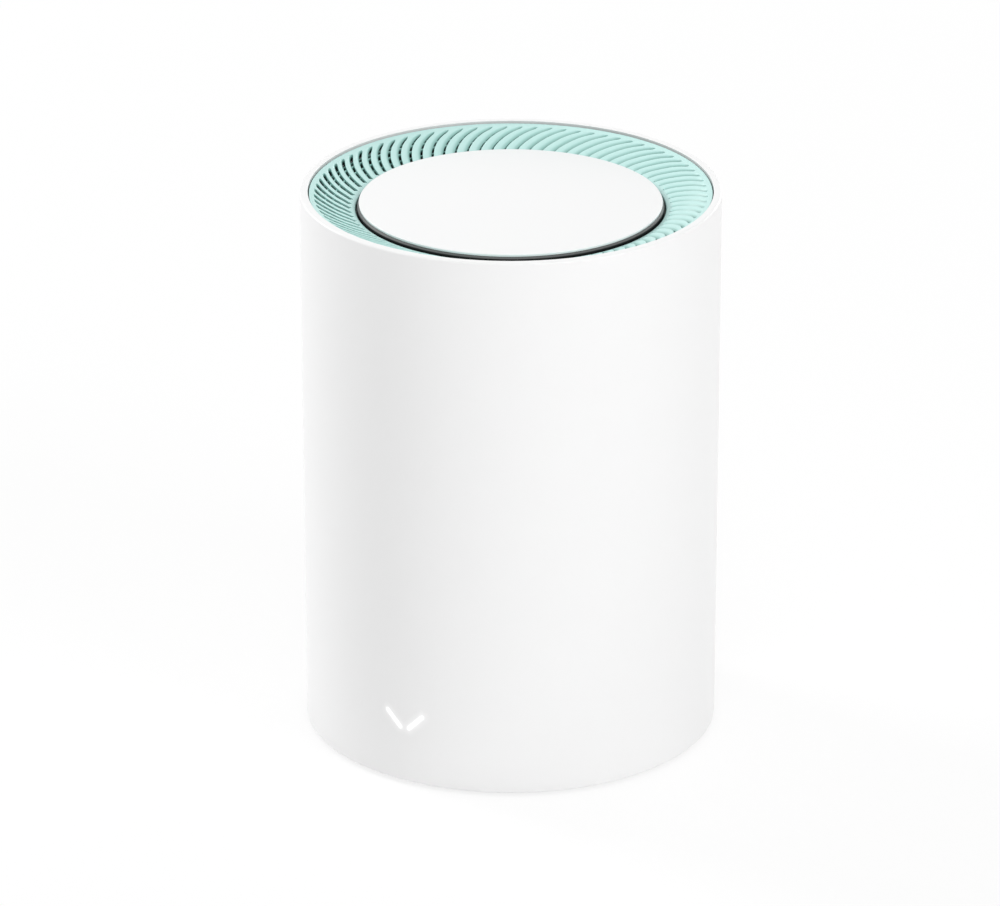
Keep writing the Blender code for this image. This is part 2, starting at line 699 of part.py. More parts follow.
def stroke_outline(side, half_width, steps=4):
    """The outline of one stroke of the chevron, (x, z), for side -1 or 1."""
    top = Vector((side * STROKE_TOP, light_z + STROKE_RISE / 2))
    foot = Vector((side * STROKE_FOOT, light_z - STROKE_RISE / 2))
    along = math.degrees(math.atan2(top.y - foot.y, top.x - foot.x))
    outline = list(arc_points(top, half_width, along - 90, along + 90, steps))
    outline += list(arc_points(foot, half_width, along + 90, along + 270, steps))
    return outline


def spokes(name, count, radii, width, heights):
    """A ring of radial bars, as one cutter."""
    bm = bmesh.new()
    for i in range(count):
        made = bmesh.ops.create_cube(bm, size=1.0)["verts"]
        size = Vector((radii[1] - radii[0], width, heights[1] - heights[0]))
        bmesh.ops.scale(bm, vec=size, verts=made)
        bmesh.ops.translate(bm, vec=(sum(radii) / 2, 0, sum(heights) / 2), verts=made)
        bmesh.ops.rotate(bm, matrix=Matrix.Rotation(2 * math.pi * i / count, 3, "Z"), verts=made)
    return place(name, mesh_from(name, bm), helper=True)


def make_base():
    """The cover that closes the shell's foot, with its vents, feet and screws."""
    cover = rod(
        "base_cover",
        base_radius,
        (0, 0, base_bottom),
        BASE_THICKNESS,
        material=BLACK,
        steps=ROUND_STEPS,
    )
    rib_foot = base_top - BASE_THICKNESS / 3
    rib = [
        (base_rib_inner, base_top + BASE_RIB_HEIGHT),
        (base_rib_outer, base_top + BASE_RIB_HEIGHT),
        (base_rib_outer, rib_foot),
        (base_rib_inner, rib_foot),
    ]
    join(cover, turned("base_rib", rib, helper=True))
    vents = spokes(
        "base_vent_cutter",
        BASE_VENT_COUNT,
        (BASE_VENT_INNER, base_vent_outer),
        BASE_VENT_WIDTH,
        (base_bottom - OVERSHOOT, base_top + OVERSHOOT),
    )
    cut(cover, vents)
    pocket_top = base_bottom + FOOT_POCKET_DEPTH
    for number, angle in enumerate(FOOT_ANGLES, 1):
        spot = round_the_axis(base_screw_circle, angle)
        foot = turned(
            f"foot_{number}",
            [
                (0, pocket_top - GAP),
                (FOOT_RADIUS, pocket_top - GAP),
                (FOOT_RADIUS, FOOT_DROP / 2),
                (FOOT_RADIUS - FOOT_DROP / 2, 0),
                (0, 0),
            ],
            RUBBER,
            steps=FOOT_STEPS,
        )
        foot.location = spot
        pocket = rod(
            f"foot_cutter_{number}",
            FOOT_RADIUS + GAP,
            (spot.x, spot.y, 0),
            pocket_top,
            helper=True,
            steps=FOOT_STEPS,
        )
        cut(cover, pocket)
    for number, angle in enumerate(BASE_SCREW_ANGLES, 1):
        spot = round_the_axis(base_screw_circle, angle, base_screw_seat)
        screw(f"base_screw_{number}", spot, "down")
        foot_of_hole = (spot.x, spot.y, 0)
        head = peg_or_hole(f"base_head_cutter_{number}", SCREW_HEAD_RADIUS + GAP, foot_of_hole, spot.z)
        hole = peg_or_hole(f"base_hole_cutter_{number}", screw_bore, foot_of_hole, base_top + OVERSHOOT)
        cut(cover, head, hole)
    return cover


# ---------------------------------------------------------------- grille and cap
lean = math.radians(SLOT_TANGENT)
slot_centre = Vector((slot_outer, 0, 0)) - SLOT_ARC_RADIUS * Vector((math.sin(lean), math.cos(lean), 0))


def slot_point(radius):
    """Where a slot's middle line meets a circle of this radius. The line is an arc
    about slot_centre, and its outer end lies on the X axis."""
    reach = slot_centre.length
    swing = (radius**2 + reach**2 - SLOT_ARC_RADIUS**2) / (2 * radius * reach)
    angle = math.atan2(slot_centre.y, slot_centre.x) + math.acos(swing)
    return round_the_axis(radius, math.degrees(angle))


def vane_sides(radius):
    """Where a circle of this radius meets the vane between two slots: its low side,
    along the first slot, and its high side, along the next."""
    slot = slot_point(radius)
    half_slot = (slot - slot_centre).normalized() * SLOT_WIDTH / 2
    pitch = Matrix.Rotation(2 * math.pi / VANE_COUNT, 3, "Z")
    return slot + half_slot, pitch @ (slot - half_slot)


def vane_dish():
    """The grille as one mesh: vanes lofted along their arcs between an outer band
    and an inner one, ribs that tie them, and the well with its floor. Each vane's
    top is level with the dish from its high side to its crest, and slopes from there
    down to its low side. A rib is a hoop with a sharp upper edge, flush with the
    vanes' undersides."""
    radii = [slot_outer, *rib_radii, slot_inner]
    last = len(radii) - 1
    sides = [vane_sides(radius) for radius in radii]
    feet = [[(radius + RIB_WIDTH / 2), (radius - RIB_WIDTH / 2)] for radius in radii]
    feet[0], feet[last] = [radii[0]], [radii[last]]
    bm = bmesh.new()

    def corner(sector, point, depth=None, height=None):
        turn = math.radians(VANE_PHASE + 360 / VANE_COUNT * sector)
        if height is None:
            height = dish_height(point.length) - depth
        return bm.verts.new(Matrix.Rotation(turn, 3, "Z") @ Vector((point.x, point.y, height)))

    sectors = []
    for k in range(VANE_COUNT):
        rows = []
        for i, (low, high) in enumerate(sides):
            crest = high.lerp(low, VANE_FLAT)
            row = {"low": corner(k, low, VANE_DROP), "crest": corner(k, crest, 0), "high": corner(k, high, 0)}
            if i in (0, last):
                row["low lip"] = corner(k, low, 0)
            else:
                row["low rib"] = corner(k, low, RIB_DEPTH)
                row["high rib"] = corner(k, high, RIB_DEPTH)
            row["low foot"] = [corner(k, vane_sides(radius)[0], vane_height) for radius in feet[i]]
            row["high foot"] = [corner(k, vane_sides(radius)[1], vane_height) for radius in feet[i]]
            rows.append(row)
        outer = sides[0][1].normalized()
        inner = sides[last][1].normalized()
        well_outer = well_radius + WELL_WALL
        edges = {
            "rim": corner(k, outer * grille_radius, height=dish_edge + BAND_RISE),
            "flange": corner(k, outer * grille_radius, height=flange_bottom),
            "well": corner(k, inner * well_radius, height=dish_height(well_radius)),
            "floor": corner(k, inner * well_radius, height=hub_top),
            "skirt": corner(k, inner * well_outer, vane_height),
            "underside": corner(k, inner * well_outer, height=hub_bottom),
        }
        sectors.append((rows, edges))

    for k in range(VANE_COUNT):
        rows, edges = sectors[k]
        before, edges_before = sectors[k - 1]
        for here, there in zip(rows, rows[1:]):
            add_vane_stretch(bm, here, there)
        for row, row_before in zip(rows[1:last], before[1:last]):
            add_rib_stretch(bm, row, row_before)
        for end, end_before, above, below in (
            (rows[0], before[0], "rim", "flange"),
            (rows[last], before[last], "well", "skirt"),
        ):
            lip, feet_of_end = end["low lip"], (end_before["high foot"][0], end["low foot"][0])
            bm.faces.new(
                (end_before["high"], lip, end["crest"], end["high"], edges[above], edges_before[above])
            )
            bm.faces.new((*feet_of_end, end["high foot"][0], edges[below], edges_before[below]))
            bm.faces.new((lip, end["low"], end["crest"]))
            bm.faces.new((end_before["high"], lip, end["low"], *reversed(feet_of_end)))
        for upper, lower in (("rim", "flange"), ("well", "floor"), ("skirt", "underside")):
            bm.faces.new((edges[upper], edges[lower], edges_before[lower], edges_before[upper]))
    for name in ("floor", "underside"):
        bm.faces.new([edges[name] for _, edges in sectors])
    return mesh_from("top_grille", bm)


def add_vane_stretch(bm, here, there):
    """One stretch of a vane, between two of its rows: its top, its underside and
    its two sides, which run down to the underside or to a rib."""
    bm.faces.new((here["low"], there["low"], there["crest"], here["crest"]))
    bm.faces.new((here["crest"], there["crest"], there["high"], here["high"]))
    low, high = "low foot", "high foot"
    bm.faces.new((here[low][-1], there[low][0], there[high][0], here[high][-1]))
    for side in ("low", "high"):
        wall = [here[side], there[side]]
        if side + " rib" in there:
            wall.append(there[side + " rib"])
        wall += [there[side + " foot"][0], here[side + " foot"][-1]]
        if side + " rib" in here:
            wall.append(here[side + " rib"])
        bm.faces.new(wall)


def add_rib_stretch(bm, row, before):
    """A rib where it bridges one slot, and the vane's underside beside it."""
    ridge = (before["high rib"], row["low rib"])
    outer = (before["high foot"][0], row["low foot"][0])
    inner = (before["high foot"][1], row["low foot"][1])
    for edge, other in ((ridge, outer), (ridge, inner), (outer, inner)):
        bm.faces.new((*edge, *reversed(other)))
    bm.faces.new((outer[1], inner[1], row["high foot"][1], row["high foot"][0]))


def make_grille():
    """The dish of vanes, with the bosses and holes that hold it and the cap."""
    grille = place("top_grille", vane_dish(), MINT)
    for number, angle in enumerate(GRILLE_SCREW_ANGLES, 1):
        spot = round_the_axis(grille_screw_circle, angle, hub_top)
        height = hub_top - grille_boss_bottom
        start = (spot.x, spot.y, grille_boss_bottom)
        boss = round_boss(f"grille_boss_{number}", start, height - HUB_THICKNESS / 2)
        below = (spot.x, spot.y, grille_boss_bottom - OVERSHOOT)
        hole = peg_or_hole(f"grille_hole_cutter_{number}", screw_bore, below, height + 2 * OVERSHOOT)
        join(grille, boss)
        cut(grille, hole)
        screw(f"grille_screw_{number}", spot, "up")
    for number, angle in enumerate(CLIP_ANGLES, 1):
        inner = clip_circle - CLIP_THICKNESS / 2 - CLIP_BARB - GAP
        outer = clip_circle + CLIP_THICKNESS / 2 + GAP
        half = CLIP_WIDTH / 2 + GAP
        slot = block(
            f"clip_slot_cutter_{number}",
            (inner, outer),
            (-half, half),
            (hub_bottom - OVERSHOOT, hub_top + OVERSHOOT),
            helper=True,
        )
        cut(grille, turn_about_z(slot, angle))
    return grille


def make_cap():
    """The plain cap over the hub, with three clips, and the dark ring under it."""
    fillet_centre = (CAP_RADIUS - CAP_FILLET, cap_top - CAP_FILLET)
    profile = [(0, cap_top)]
    profile += list(arc_points(fillet_centre, CAP_FILLET, 90, 0, 2))
    profile += [
        (CAP_RADIUS - CAP_LIP_UNDERCUT, cap_top - CAP_LIP),
        (cap_spigot_radius, cap_top - CAP_LIP),
        (cap_spigot_radius, cap_bottom),
        (cap_rim_inner, cap_bottom),
        (cap_rim_inner, cap_top - CAP_THICKNESS),
        (0, cap_top - CAP_THICKNESS),
    ]
    cap = turned("top_cap", profile, WHITE)
    inner = clip_circle - CLIP_THICKNESS / 2
    outer = clip_circle + CLIP_THICKNESS / 2
    catch = hub_bottom - GAP
    for number, angle in enumerate(CLIP_ANGLES, 1):
        clip = prism(
            f"cap_clip_{number}",
            [
                (inner, cap_top - CAP_THICKNESS / 2),
                (inner, catch - CLIP_HOOK),
                (outer, catch - CLIP_HOOK),
                (outer + CLIP_BARB, catch),
                (outer, catch),
                (outer, cap_top - CAP_THICKNESS / 2),
            ],
            (-CLIP_WIDTH / 2, CLIP_WIDTH / 2),
            helper=True,
        )
        join(cap, turn_about_z(clip, angle))
    turned(
        "cap_trim_ring",
        [
            (trim_inner, trim_top),
            (CAP_RADIUS, trim_top),
            (trim_radius, trim_top - TRIM_FLARE),
            (trim_radius, trim_bottom),
            (cap_rim_inner, trim_bottom),
            (cap_rim_inner, trim_bottom + TRIM_SHELF),
            (trim_inner, trim_bottom + TRIM_SHELF),
        ],
        DARK_GLOSS,
    )
    return cap


# ---------------------------------------------------------------- inner frame
def make_frame():
    """Two rings on rails and posts. It holds the board, the aerials and the light,
    and takes the screws of the base cover and the grille."""
    ring = [
        (frame_inner, frame_ring_top),
        (frame_outer, frame_ring_top),
        (frame_outer, frame_bottom),
        (frame_inner, frame_bottom),
    ]
    frame = turned("inner_frame", ring, BLACK, steps=FRAME_STEPS)
    frame.rotation_euler.z = math.pi / FRAME_STEPS
    lift = frame_top - frame_ring_top
    top_ring = [(radius, height + lift) for radius, height in ring]
    upper = turned("frame_top_ring", top_ring, helper=True, steps=FRAME_STEPS)
    upper.rotation_euler.z = math.pi / FRAME_STEPS
    join(frame, upper)
    span = (frame_root, frame_head)
    for side, name in ((-1, "left"), (1, "right")):
        rail = block(
            f"rail_{name}",
            sorted((side * (board_half - RAIL_BITE), side * rail_outer)),
            (rail_front, rail_back),
            span,
            helper=True,
        )
        join(frame, rail)
        near, far = window_half + GAP, window_half + GAP + KEEPER_WIDTH
        reach = min(frame_outer, flange_inner - GAP)
        keeper = prism(
            f"panel_keeper_{name}",
            [
                (side * near, math.sqrt(frame_inner**2 - far**2)),
                (side * far, math.sqrt(frame_inner**2 - far**2)),
                (side * far, math.sqrt(reach**2 - far**2)),
                (side * near, math.sqrt(reach**2 - near**2)),
            ],
            (frame_root, window_top + PANEL_FLANGE),
            "Z",
            helper=True,
        )
        join(frame, keeper)
    for number, angle in enumerate(AERIAL_ANGLES, 1):
        post = block(
            f"aerial_post_{number}",
            (post_inner, post_outer),
            (-POST_WIDTH / 2, POST_WIDTH / 2),
            span,
            helper=True,
        )
        join(frame, turn_about_z(post, angle))
        for place_on_post, level in stud_levels.items():
            start = (post_outer - POST_THICKNESS / 2, 0, level)
            length = POST_THICKNESS / 2 + GAP + AERIAL_THICKNESS + GAP
            stud = peg_or_hole(f"aerial_stud_{number}_{place_on_post}", STUD_RADIUS, start, length, "X")
            join(frame, turn_about_z(stud, angle))
    for number, angle in enumerate(GRILLE_SCREW_ANGLES, 1):
        arm = block(
            f"grille_arm_{number}",
            (grille_screw_circle - ARM_WIDTH / 2, frame_inner + FRAME_RING_WIDTH / 2),
            (-ARM_WIDTH / 2, ARM_WIDTH / 2),
            (frame_head - ARM_THICKNESS / 2, frame_head + ARM_THICKNESS / 2),
            helper=True,
        )
        join(frame, turn_about_z(arm, angle))
        spot = round_the_axis(grille_screw_circle, angle, frame_head)
        boss = round_boss(f"arm_boss_{number}", spot, frame_boss_top - frame_head)
        join(frame, boss)
        below = spot - Vector((0, 0, FRAME_PLATE))
        depth = frame_boss_top - below.z + OVERSHOOT
        hole = peg_or_hole(f"arm_hole_cutter_{number}", screw_bore, below, depth)
        cut(frame, hole)
    for number, angle in enumerate(BASE_SCREW_ANGLES, 1):
        spot = round_the_axis(base_screw_circle, angle, frame_root)
        boss = round_boss(f"base_boss_{number}", spot, base_boss_top - spot.z)
        join(frame, boss)
        below = spot - Vector((0, 0, FRAME_PLATE))
        tip = base_screw_seat + SCREW_LENGTH + GAP
        hole = peg_or_hole(f"base_boss_cutter_{number}", screw_bore, below, tip - below.z)
        cut(frame, hole)
    add_light_bracket(frame)
    groove = block(
        "board_groove_cutter",
        (-board_half - GAP, board_half + GAP),
        (board_front - GAP, board_back + GAP),
        (board_bottom - GAP / 2, board_top + GAP / 2),
        helper=True,
    )
    cut(frame, groove)
    return frame


def add_light_bracket(frame):
    """The tongue behind the status light, with its two pegs."""
    half = LIGHT_PEG_SPACING + 2 * STUD_RADIUS
    tongue = prism(
        "light_bracket",
        [
            (-half, frame_root),
            (half, frame_root),
            (half, light_z + SHROUD_HALF_HEIGHT),
            (-half, light_z + SHROUD_HALF_HEIGHT),
        ],
        (bracket_front, bracket_back),
        helper=True,
        holes=[circle((0, light_z), 3 * LIGHT_LEAD_RADIUS)],
    )
    join(frame, tongue)
    peg_tip = shroud_front + SHROUD_DEPTH / 2
    for side in (-1, 1):
        start = (side * LIGHT_PEG_SPACING, peg_tip, light_z)
        length = (bracket_front + bracket_back) / 2 - peg_tip
        join(frame, peg_or_hole(f"light_peg_{side}", STUD_RADIUS, start, length, "Y"))


# ---------------------------------------------------------------- main board
def make_board():
    """The upright board, with the chips, cans and heatsink on its front face and
    the magnetics and capacitors on its rear face."""
    board = block(
        "main_board",
        (-board_half, board_half),
        (board_front, board_back),
        (board_bottom, board_top),
        BOARD,
    )
    for number, side in ((1, -1), (2, 1)):
        spot = (side * sink_screw_x, board_back + GAP, sink_middle + side * sink_screw_rise)
        screw(f"heatsink_screw_{number}", spot, "rear")
        start = (spot[0], board_front - OVERSHOOT, spot[2])
        depth = BOARD_THICKNESS + 2 * OVERSHOOT
        hole = peg_or_hole(f"board_hole_cutter_{number}", screw_bore, start, depth, "Y")
        cut(board, hole)
    on_front("soc_chip", (0, sink_middle + SOC_RAISE), (SOC_SIDE, SOC_SIDE), CHIP_HEIGHT, BLACK)
    on_front("memory_chip", (0, sink_middle - RAM_DROP), (RAM_SIDE, RAM_SIDE), CHIP_HEIGHT, BLACK)
    flash_z = sink_bottom - SHIELD_LENGTH / 2 - LEAD_DROPS[0]
    on_front("flash_chip", (0, flash_z), FLASH_SIZE, CHIP_HEIGHT, BLACK)
    for number, side in ((1, -1), (2, 1)):
        spot = (side * SHIELD_X, flash_z)
        size = (SHIELD_WIDTH, SHIELD_LENGTH)
        on_front(f"wifi_shield_can_{number}", spot, size, SHIELD_HEIGHT, STEEL)
    side = (INDUCTOR_SIDE, INDUCTOR_SIDE)
    inductor_z = coils_bottom + INDUCTOR_SIDE / 2
    on_rear("power_inductor", (dc_x, inductor_z), side, INDUCTOR_HEIGHT, BLACK)
    for number, x in ((1, wan_x), (2, lan_x)):
        size = (TRANSFORMER_WIDTH, TRANSFORMER_LENGTH)
        spot = (x, (coils_bottom + coils_top) / 2)
        on_rear(f"lan_transformer_{number}", spot, size, TRANSFORMER_HEIGHT, BLACK)
    for number in (1, 2):
        level = coils_bottom + INDUCTOR_SIDE + number * (2 * CAPACITOR_RADIUS + GAP)
        turned_up = [
            (0, CAPACITOR_HEIGHT),
            (CAPACITOR_RADIUS - GAP, CAPACITOR_HEIGHT),
            (CAPACITOR_RADIUS, CAPACITOR_HEIGHT - GAP),
            (CAPACITOR_RADIUS, 0),
            (0, 0),
        ]
        can = turned(f"capacitor_{number}", turned_up, ALUMINIUM, steps=SMALL_STEPS)
        can.rotation_euler.x = -math.pi / 2
        can.location = (dc_x, rear_parts, level)
    make_heatsink()


def on_front(name, spot, size, height, material):
    """A flat part on the board's front face, its middle at the (x, z) spot."""
    x, z = spot
    return block(
        name,
        (x - size[0] / 2, x + size[0] / 2),
        (front_parts - height, front_parts),
        (z - size[1] / 2, z + size[1] / 2),
        material,
    )


def on_rear(name, spot, size, height, material):
    """A flat part on the board's rear face, its middle at the (x, z) spot."""
    x, z = spot
    return block(
        name,
        (x - size[0] / 2, x + size[0] / 2),
        (rear_parts, rear_parts + height),
        (z - size[1] / 2, z + size[1] / 2),
        material,
    )


def make_heatsink():
    """A comb of upright fins, pressed on the chips through a soft pad."""
    base_front = sink_back - SINK_BASE
    fin_front = base_front - SINK_FIN_DEPTH
    sink = block(
        "heatsink",
        (-SINK_WIDTH / 2, SINK_WIDTH / 2),
        (fin_front, sink_back),
        (sink_bottom, sink_bottom + SINK_HEIGHT),
        ALUMINIUM,
    )
    first = -SINK_WIDTH / 2 + SINK_FIN_WALL
    channels = block(
        "sink_channel_cutter",
        (first, first + fin_pitch - SINK_FIN_WALL),
        (fin_front - OVERSHOOT, base_front),
        (sink_bottom - OVERSHOOT, sink_bottom + SINK_HEIGHT + OVERSHOOT),
        helper=True,
    )
    repeat(channels, SINK_FIN_COUNT - 1, (fin_pitch, 0, 0))
    cut(sink, channels)
    for side in (-1, 1):
        level = sink_middle + side * sink_screw_rise
        spot = (side * sink_screw_x, sink_back - SINK_BASE / 2, level)
        length = front_parts - spot[1]
        join(sink, round_boss(f"sink_boss_{side}", spot, length, "Y"))
        front = (spot[0], base_front - OVERSHOOT, level)
        depth = length + SINK_BASE + 2 * OVERSHOOT
        cut(sink, peg_or_hole(f"sink_hole_cutter_{side}", screw_bore, front, depth, "Y"))
    half = SOC_SIDE / 2
    low = sink_middle - RAM_DROP - RAM_SIDE / 2
    high = sink_middle + SOC_RAISE + half
    block("thermal_pad", (-half, half), (pad_front, pad_front + PAD_THICKNESS), (low, high), PAD)


# ---------------------------------------------------------------- sockets
def make_ethernet_jack(prefix, x):
    """A network socket: a housing open to the rear, with the latch's channel under
    it, and a carrier with its row of contacts over it."""
    housing = block(
        f"{prefix}_jack_housing",
        (x - JACK_WIDTH / 2, x + JACK_WIDTH / 2),
        (jack_back, jack_front),
        (jack_bottom, jack_top),
        BLACK,
    )
    carrier_half = CONTACT_COUNT * CONTACT_PITCH / 2
    rear = (socket_back, jack_front + OVERSHOOT)
    hollows = (
        ("mouth", SOCKET_WIDTH / 2, rear, (socket_bottom, socket_top)),
        ("latch", LATCH_WIDTH / 2, rear, (socket_bottom - LATCH_HEIGHT, window_middle)),
        (
            "carrier",
            carrier_half + GAP,
            (socket_back, jack_front - CONTACT_SETBACK),
            (window_middle, socket_top + CONTACT_CEILING),
        ),
    )
    for name, half, depth, height in hollows:
        width = (x - half, x + half)
        cut(housing, block(f"{prefix}_{name}_cutter", width, depth, height, helper=True))
    front = jack_front - CONTACT_SETBACK - GAP
    carrier = block(
        f"{prefix}_contact_insert",
        (x - carrier_half, x + carrier_half),
        (socket_back + GAP, front),
        (socket_top + GAP / 2, socket_top + CONTACT_CEILING - GAP),
        GOLD,
    )
    root = socket_top + CONTACT_CEILING / 2
    start = x - (CONTACT_COUNT - 1) * CONTACT_PITCH / 2 - CONTACT_WIDTH / 2
    wire = prism(
        f"{prefix}_contact",
        [
            (front - 2 * CONTACT_THICKNESS, root),
            (front - 2 * CONTACT_THICKNESS - CONTACT_SLANT, socket_top - CONTACT_HANG),
            (front - CONTACT_THICKNESS - CONTACT_SLANT, socket_top - CONTACT_HANG),
            (front - CONTACT_THICKNESS, root),
        ],
        (start, start + CONTACT_WIDTH),
        "X",
        helper=True,
    )
    repeat(wire, CONTACT_COUNT, (0, 0, CONTACT_PITCH))
    join(carrier, wire)


def make_power_jack():
    """The power socket: a bored housing, and the pin that stands in its bore."""
    housing = block(
        "dc_jack_housing",
        (dc_x - DC_WIDTH / 2, dc_x + DC_WIDTH / 2),
        (jack_back, jack_front),
        (dc_bottom, dc_bottom + DC_HEIGHT),
        BLACK,
    )
    bore_start = (dc_x, jack_front - DC_BORE_DEPTH, dc_middle)
    depth = DC_BORE_DEPTH + OVERSHOOT
    mouth = rod("dc_bore_cutter", DC_BORE_RADIUS, bore_start, depth, "Y", helper=True)
    root = (dc_x, jack_back - OVERSHOOT, dc_middle)
    hole = rod("dc_pin_hole_cutter", DC_PIN_RADIUS + GAP, root, JACK_DEPTH, "Y", helper=True)
    cut(housing, mouth, hole)
    tip = JACK_DEPTH - DC_PIN_SETBACK
    turned_pin = [
        (0, tip),
        (DC_PIN_RADIUS - DC_PIN_CHAMFER, tip),
        (DC_PIN_RADIUS, tip - DC_PIN_CHAMFER),
        (DC_PIN_RADIUS, 0),
        (0, 0),
    ]
    pin = turned("dc_jack_pin", turned_pin, STEEL, steps=SMALL_STEPS)
    pin.rotation_euler.x = -math.pi / 2
    pin.location = (dc_x, jack_back, dc_middle)


def make_port_panel():
    """The recessed panel: a flange that lies behind the shell's wall, a tray that
    comes out through its window, and the openings for sockets and button."""
    tray_z = (window_bottom + GAP, window_top - GAP)
    beyond = SHELL_RADIUS + OVERSHOOT
    panel = prism(
        "port_panel",
        rounded_rectangle((-tray_half, tray_half), tray_z, WINDOW_CORNER - GAP),
        (panel_back, beyond),
        material=BLACK,
    )
    drum = rod(
        "panel_edge_drum",
        panel_edge_radius,
        (0, 0, window_bottom - OVERSHOOT),
        WINDOW_HEIGHT + 2 * OVERSHOOT,
        helper=True,
        steps=2 * ROUND_STEPS,
    )
    boolean(panel, drum, "INTERSECT")
    reach = math.degrees(math.asin((window_half + PANEL_FLANGE) / flange_outer))
    sector = list(arc_points((0, 0), flange_outer, 90 - reach, 90 + reach, 10))
    sector += list(arc_points((0, 0), flange_inner, 90 + reach, 90 - reach, 10))
    flange = prism(
        "panel_flange",
        sector,
        (window_bottom - PANEL_FLANGE, window_top + PANEL_FLANGE),
        "Z",
        helper=True,
    )
    join(panel, flange)
    inner = tray_half - PANEL_WALL
    recess = prism(
        "panel_recess_cutter",
        rounded_rectangle(
            (-inner, inner),
            (tray_z[0] + PANEL_WALL, tray_z[1] - PANEL_WALL),
            WINDOW_CORNER - GAP - PANEL_WALL / 2,
        ),
        (panel_face, beyond + OVERSHOOT),
        helper=True,
    )
    cut(panel, recess)
    back = panel_back - OVERSHOOT
    depth = PANEL_PLATE + 2 * OVERSHOOT
    half = SOCKET_WIDTH / 2 + APERTURE_MARGIN
    for prefix, x in (("wan", wan_x), ("lan", lan_x)):
        opening = block(
            f"{prefix}_opening_cutter",
            (x - half, x + half),
            (back, back + depth),
            (socket_bottom - LATCH_HEIGHT - APERTURE_MARGIN, socket_top + APERTURE_MARGIN),
            helper=True,
        )
        cut(panel, opening)
    for name, radius, level in (
        ("dc_opening_cutter", DC_BORE_RADIUS + APERTURE_MARGIN, dc_middle),
        ("button_hole_cutter", BUTTON_RADIUS + GAP, button_z),
    ):
        cut(panel, rod(name, radius, (dc_x, back, level), depth, "Y", helper=True))


def make_button():
    """The mesh button, the switch on the board behind it, and the switch's plunger.
    Each one's origin is on the line that it slides along."""
    face = button_front - switch_front
    flange_back = panel_back - GAP - BUTTON_FLANGE_THICKNESS - switch_front
    flange_front = flange_back + BUTTON_FLANGE_THICKNESS
    button = turned(
        "mesh_button",
        [
            (0, face),
            (BUTTON_RADIUS - BUTTON_CHAMFER, face),
            (BUTTON_RADIUS, face - BUTTON_CHAMFER),
            (BUTTON_RADIUS, flange_front),
            (BUTTON_RADIUS + BUTTON_FLANGE, flange_front),
            (BUTTON_RADIUS + BUTTON_FLANGE, flange_back),
            (BUTTON_STEM_RADIUS, flange_back),
            (BUTTON_STEM_RADIUS, PLUNGER_PROUD + GAP),
            (0, PLUNGER_PROUD + GAP),
        ],
        BLACK,
        steps=SMALL_STEPS,
    )
    plunger = turned(
        "tact_switch_plunger",
        [
            (0, PLUNGER_PROUD),
            (PLUNGER_RADIUS, PLUNGER_PROUD),
            (PLUNGER_RADIUS, -PLUNGER_ROOT),
            (0, -PLUNGER_ROOT),
        ],
        NATURAL,
        steps=SMALL_STEPS,
    )
    for moving in (button, plunger):
        moving.rotation_euler.x = -math.pi / 2
        moving.location = (dc_x, switch_front, button_z)
    side = (SWITCH_SIDE, SWITCH_SIDE)
    switch = on_rear("tact_switch_body", (dc_x, button_z), side, SWITCH_HEIGHT, BLACK)
    depth = PLUNGER_ROOT + BUTTON_TRAVEL + GAP
    well = rod(
        "plunger_well_cutter",
        PLUNGER_RADIUS + GAP,
        (dc_x, switch_front - depth, button_z),
        depth + OVERSHOOT,
        "Y",
        helper=True,
    )
    cut(switch, well)


# ---------------------------------------------------------------- aerials and light
def make_aerials():
    """Four flat aerials hung on the frame's studs, each with a lead to the board."""
    for number, angle in enumerate(AERIAL_ANGLES, 1):
        half = AERIAL_WIDTH / 2
        aerial = block(
            f"antenna_{number}",
            (aerial_inner, aerial_inner + AERIAL_THICKNESS),
            (-half, half),
            (aerial_bottom, aerial_top),
            BOARD,
        )
        for place_on_post, level in stud_levels.items():
            start = (aerial_inner - OVERSHOOT, 0, level)
            depth = AERIAL_THICKNESS + 2 * OVERSHOOT
            name = f"stud_hole_cutter_{number}_{place_on_post}"
            hole = peg_or_hole(name, STUD_RADIUS + GAP, start, depth, "X")
            cut(aerial, turn_about_z(hole, angle))
        turn_about_z(aerial, angle)
        side = 1 if angle > -90 else -1
        row = LEAD_DROPS[number % 2]
        plug_x = side * (board_half - RAIL_BITE - 4 * LEAD_PLUG_RADIUS)
        plug = Vector((plug_x, front_parts - LEAD_PLUG_HEIGHT, sink_bottom - row))
        make_lead(number, angle, side, plug)


def make_lead(number, angle, side, plug):
    """The lead of one aerial: soldered along its inner face beside the post, then
    down and across to a plug on the board's front face."""
    radius = aerial_inner - 2 * GAP - LEAD_RADIUS
    beside = round_the_axis(POST_WIDTH / 2 + LEAD_SET, angle + side * 90)
    top = round_the_axis(radius, angle, aerial_bottom + LEAD_TAIL) + beside
    foot = round_the_axis(radius, angle, aerial_bottom - LEAD_TAIL / 4) + beside
    corner = round_the_axis(radius, angle, aerial_bottom - LEAD_TAIL) + beside
    halfway = (plug + corner) / 2 - Vector((0, 0, LEAD_SAG))
    knots = [
        top,
        foot,
        corner,
        halfway,
        plug + Vector((0, -LEAD_TAIL, 0)),
        plug + Vector((0, GAP, 0)),
    ]
    lead = tube(f"antenna_cable_{number}", through(knots, LEAD_STEPS), LEAD_RADIUS, BLACK)
    join(lead, peg_or_hole(f"lead_plug_{number}", LEAD_PLUG_RADIUS, plug, LEAD_PLUG_HEIGHT, "Y"))


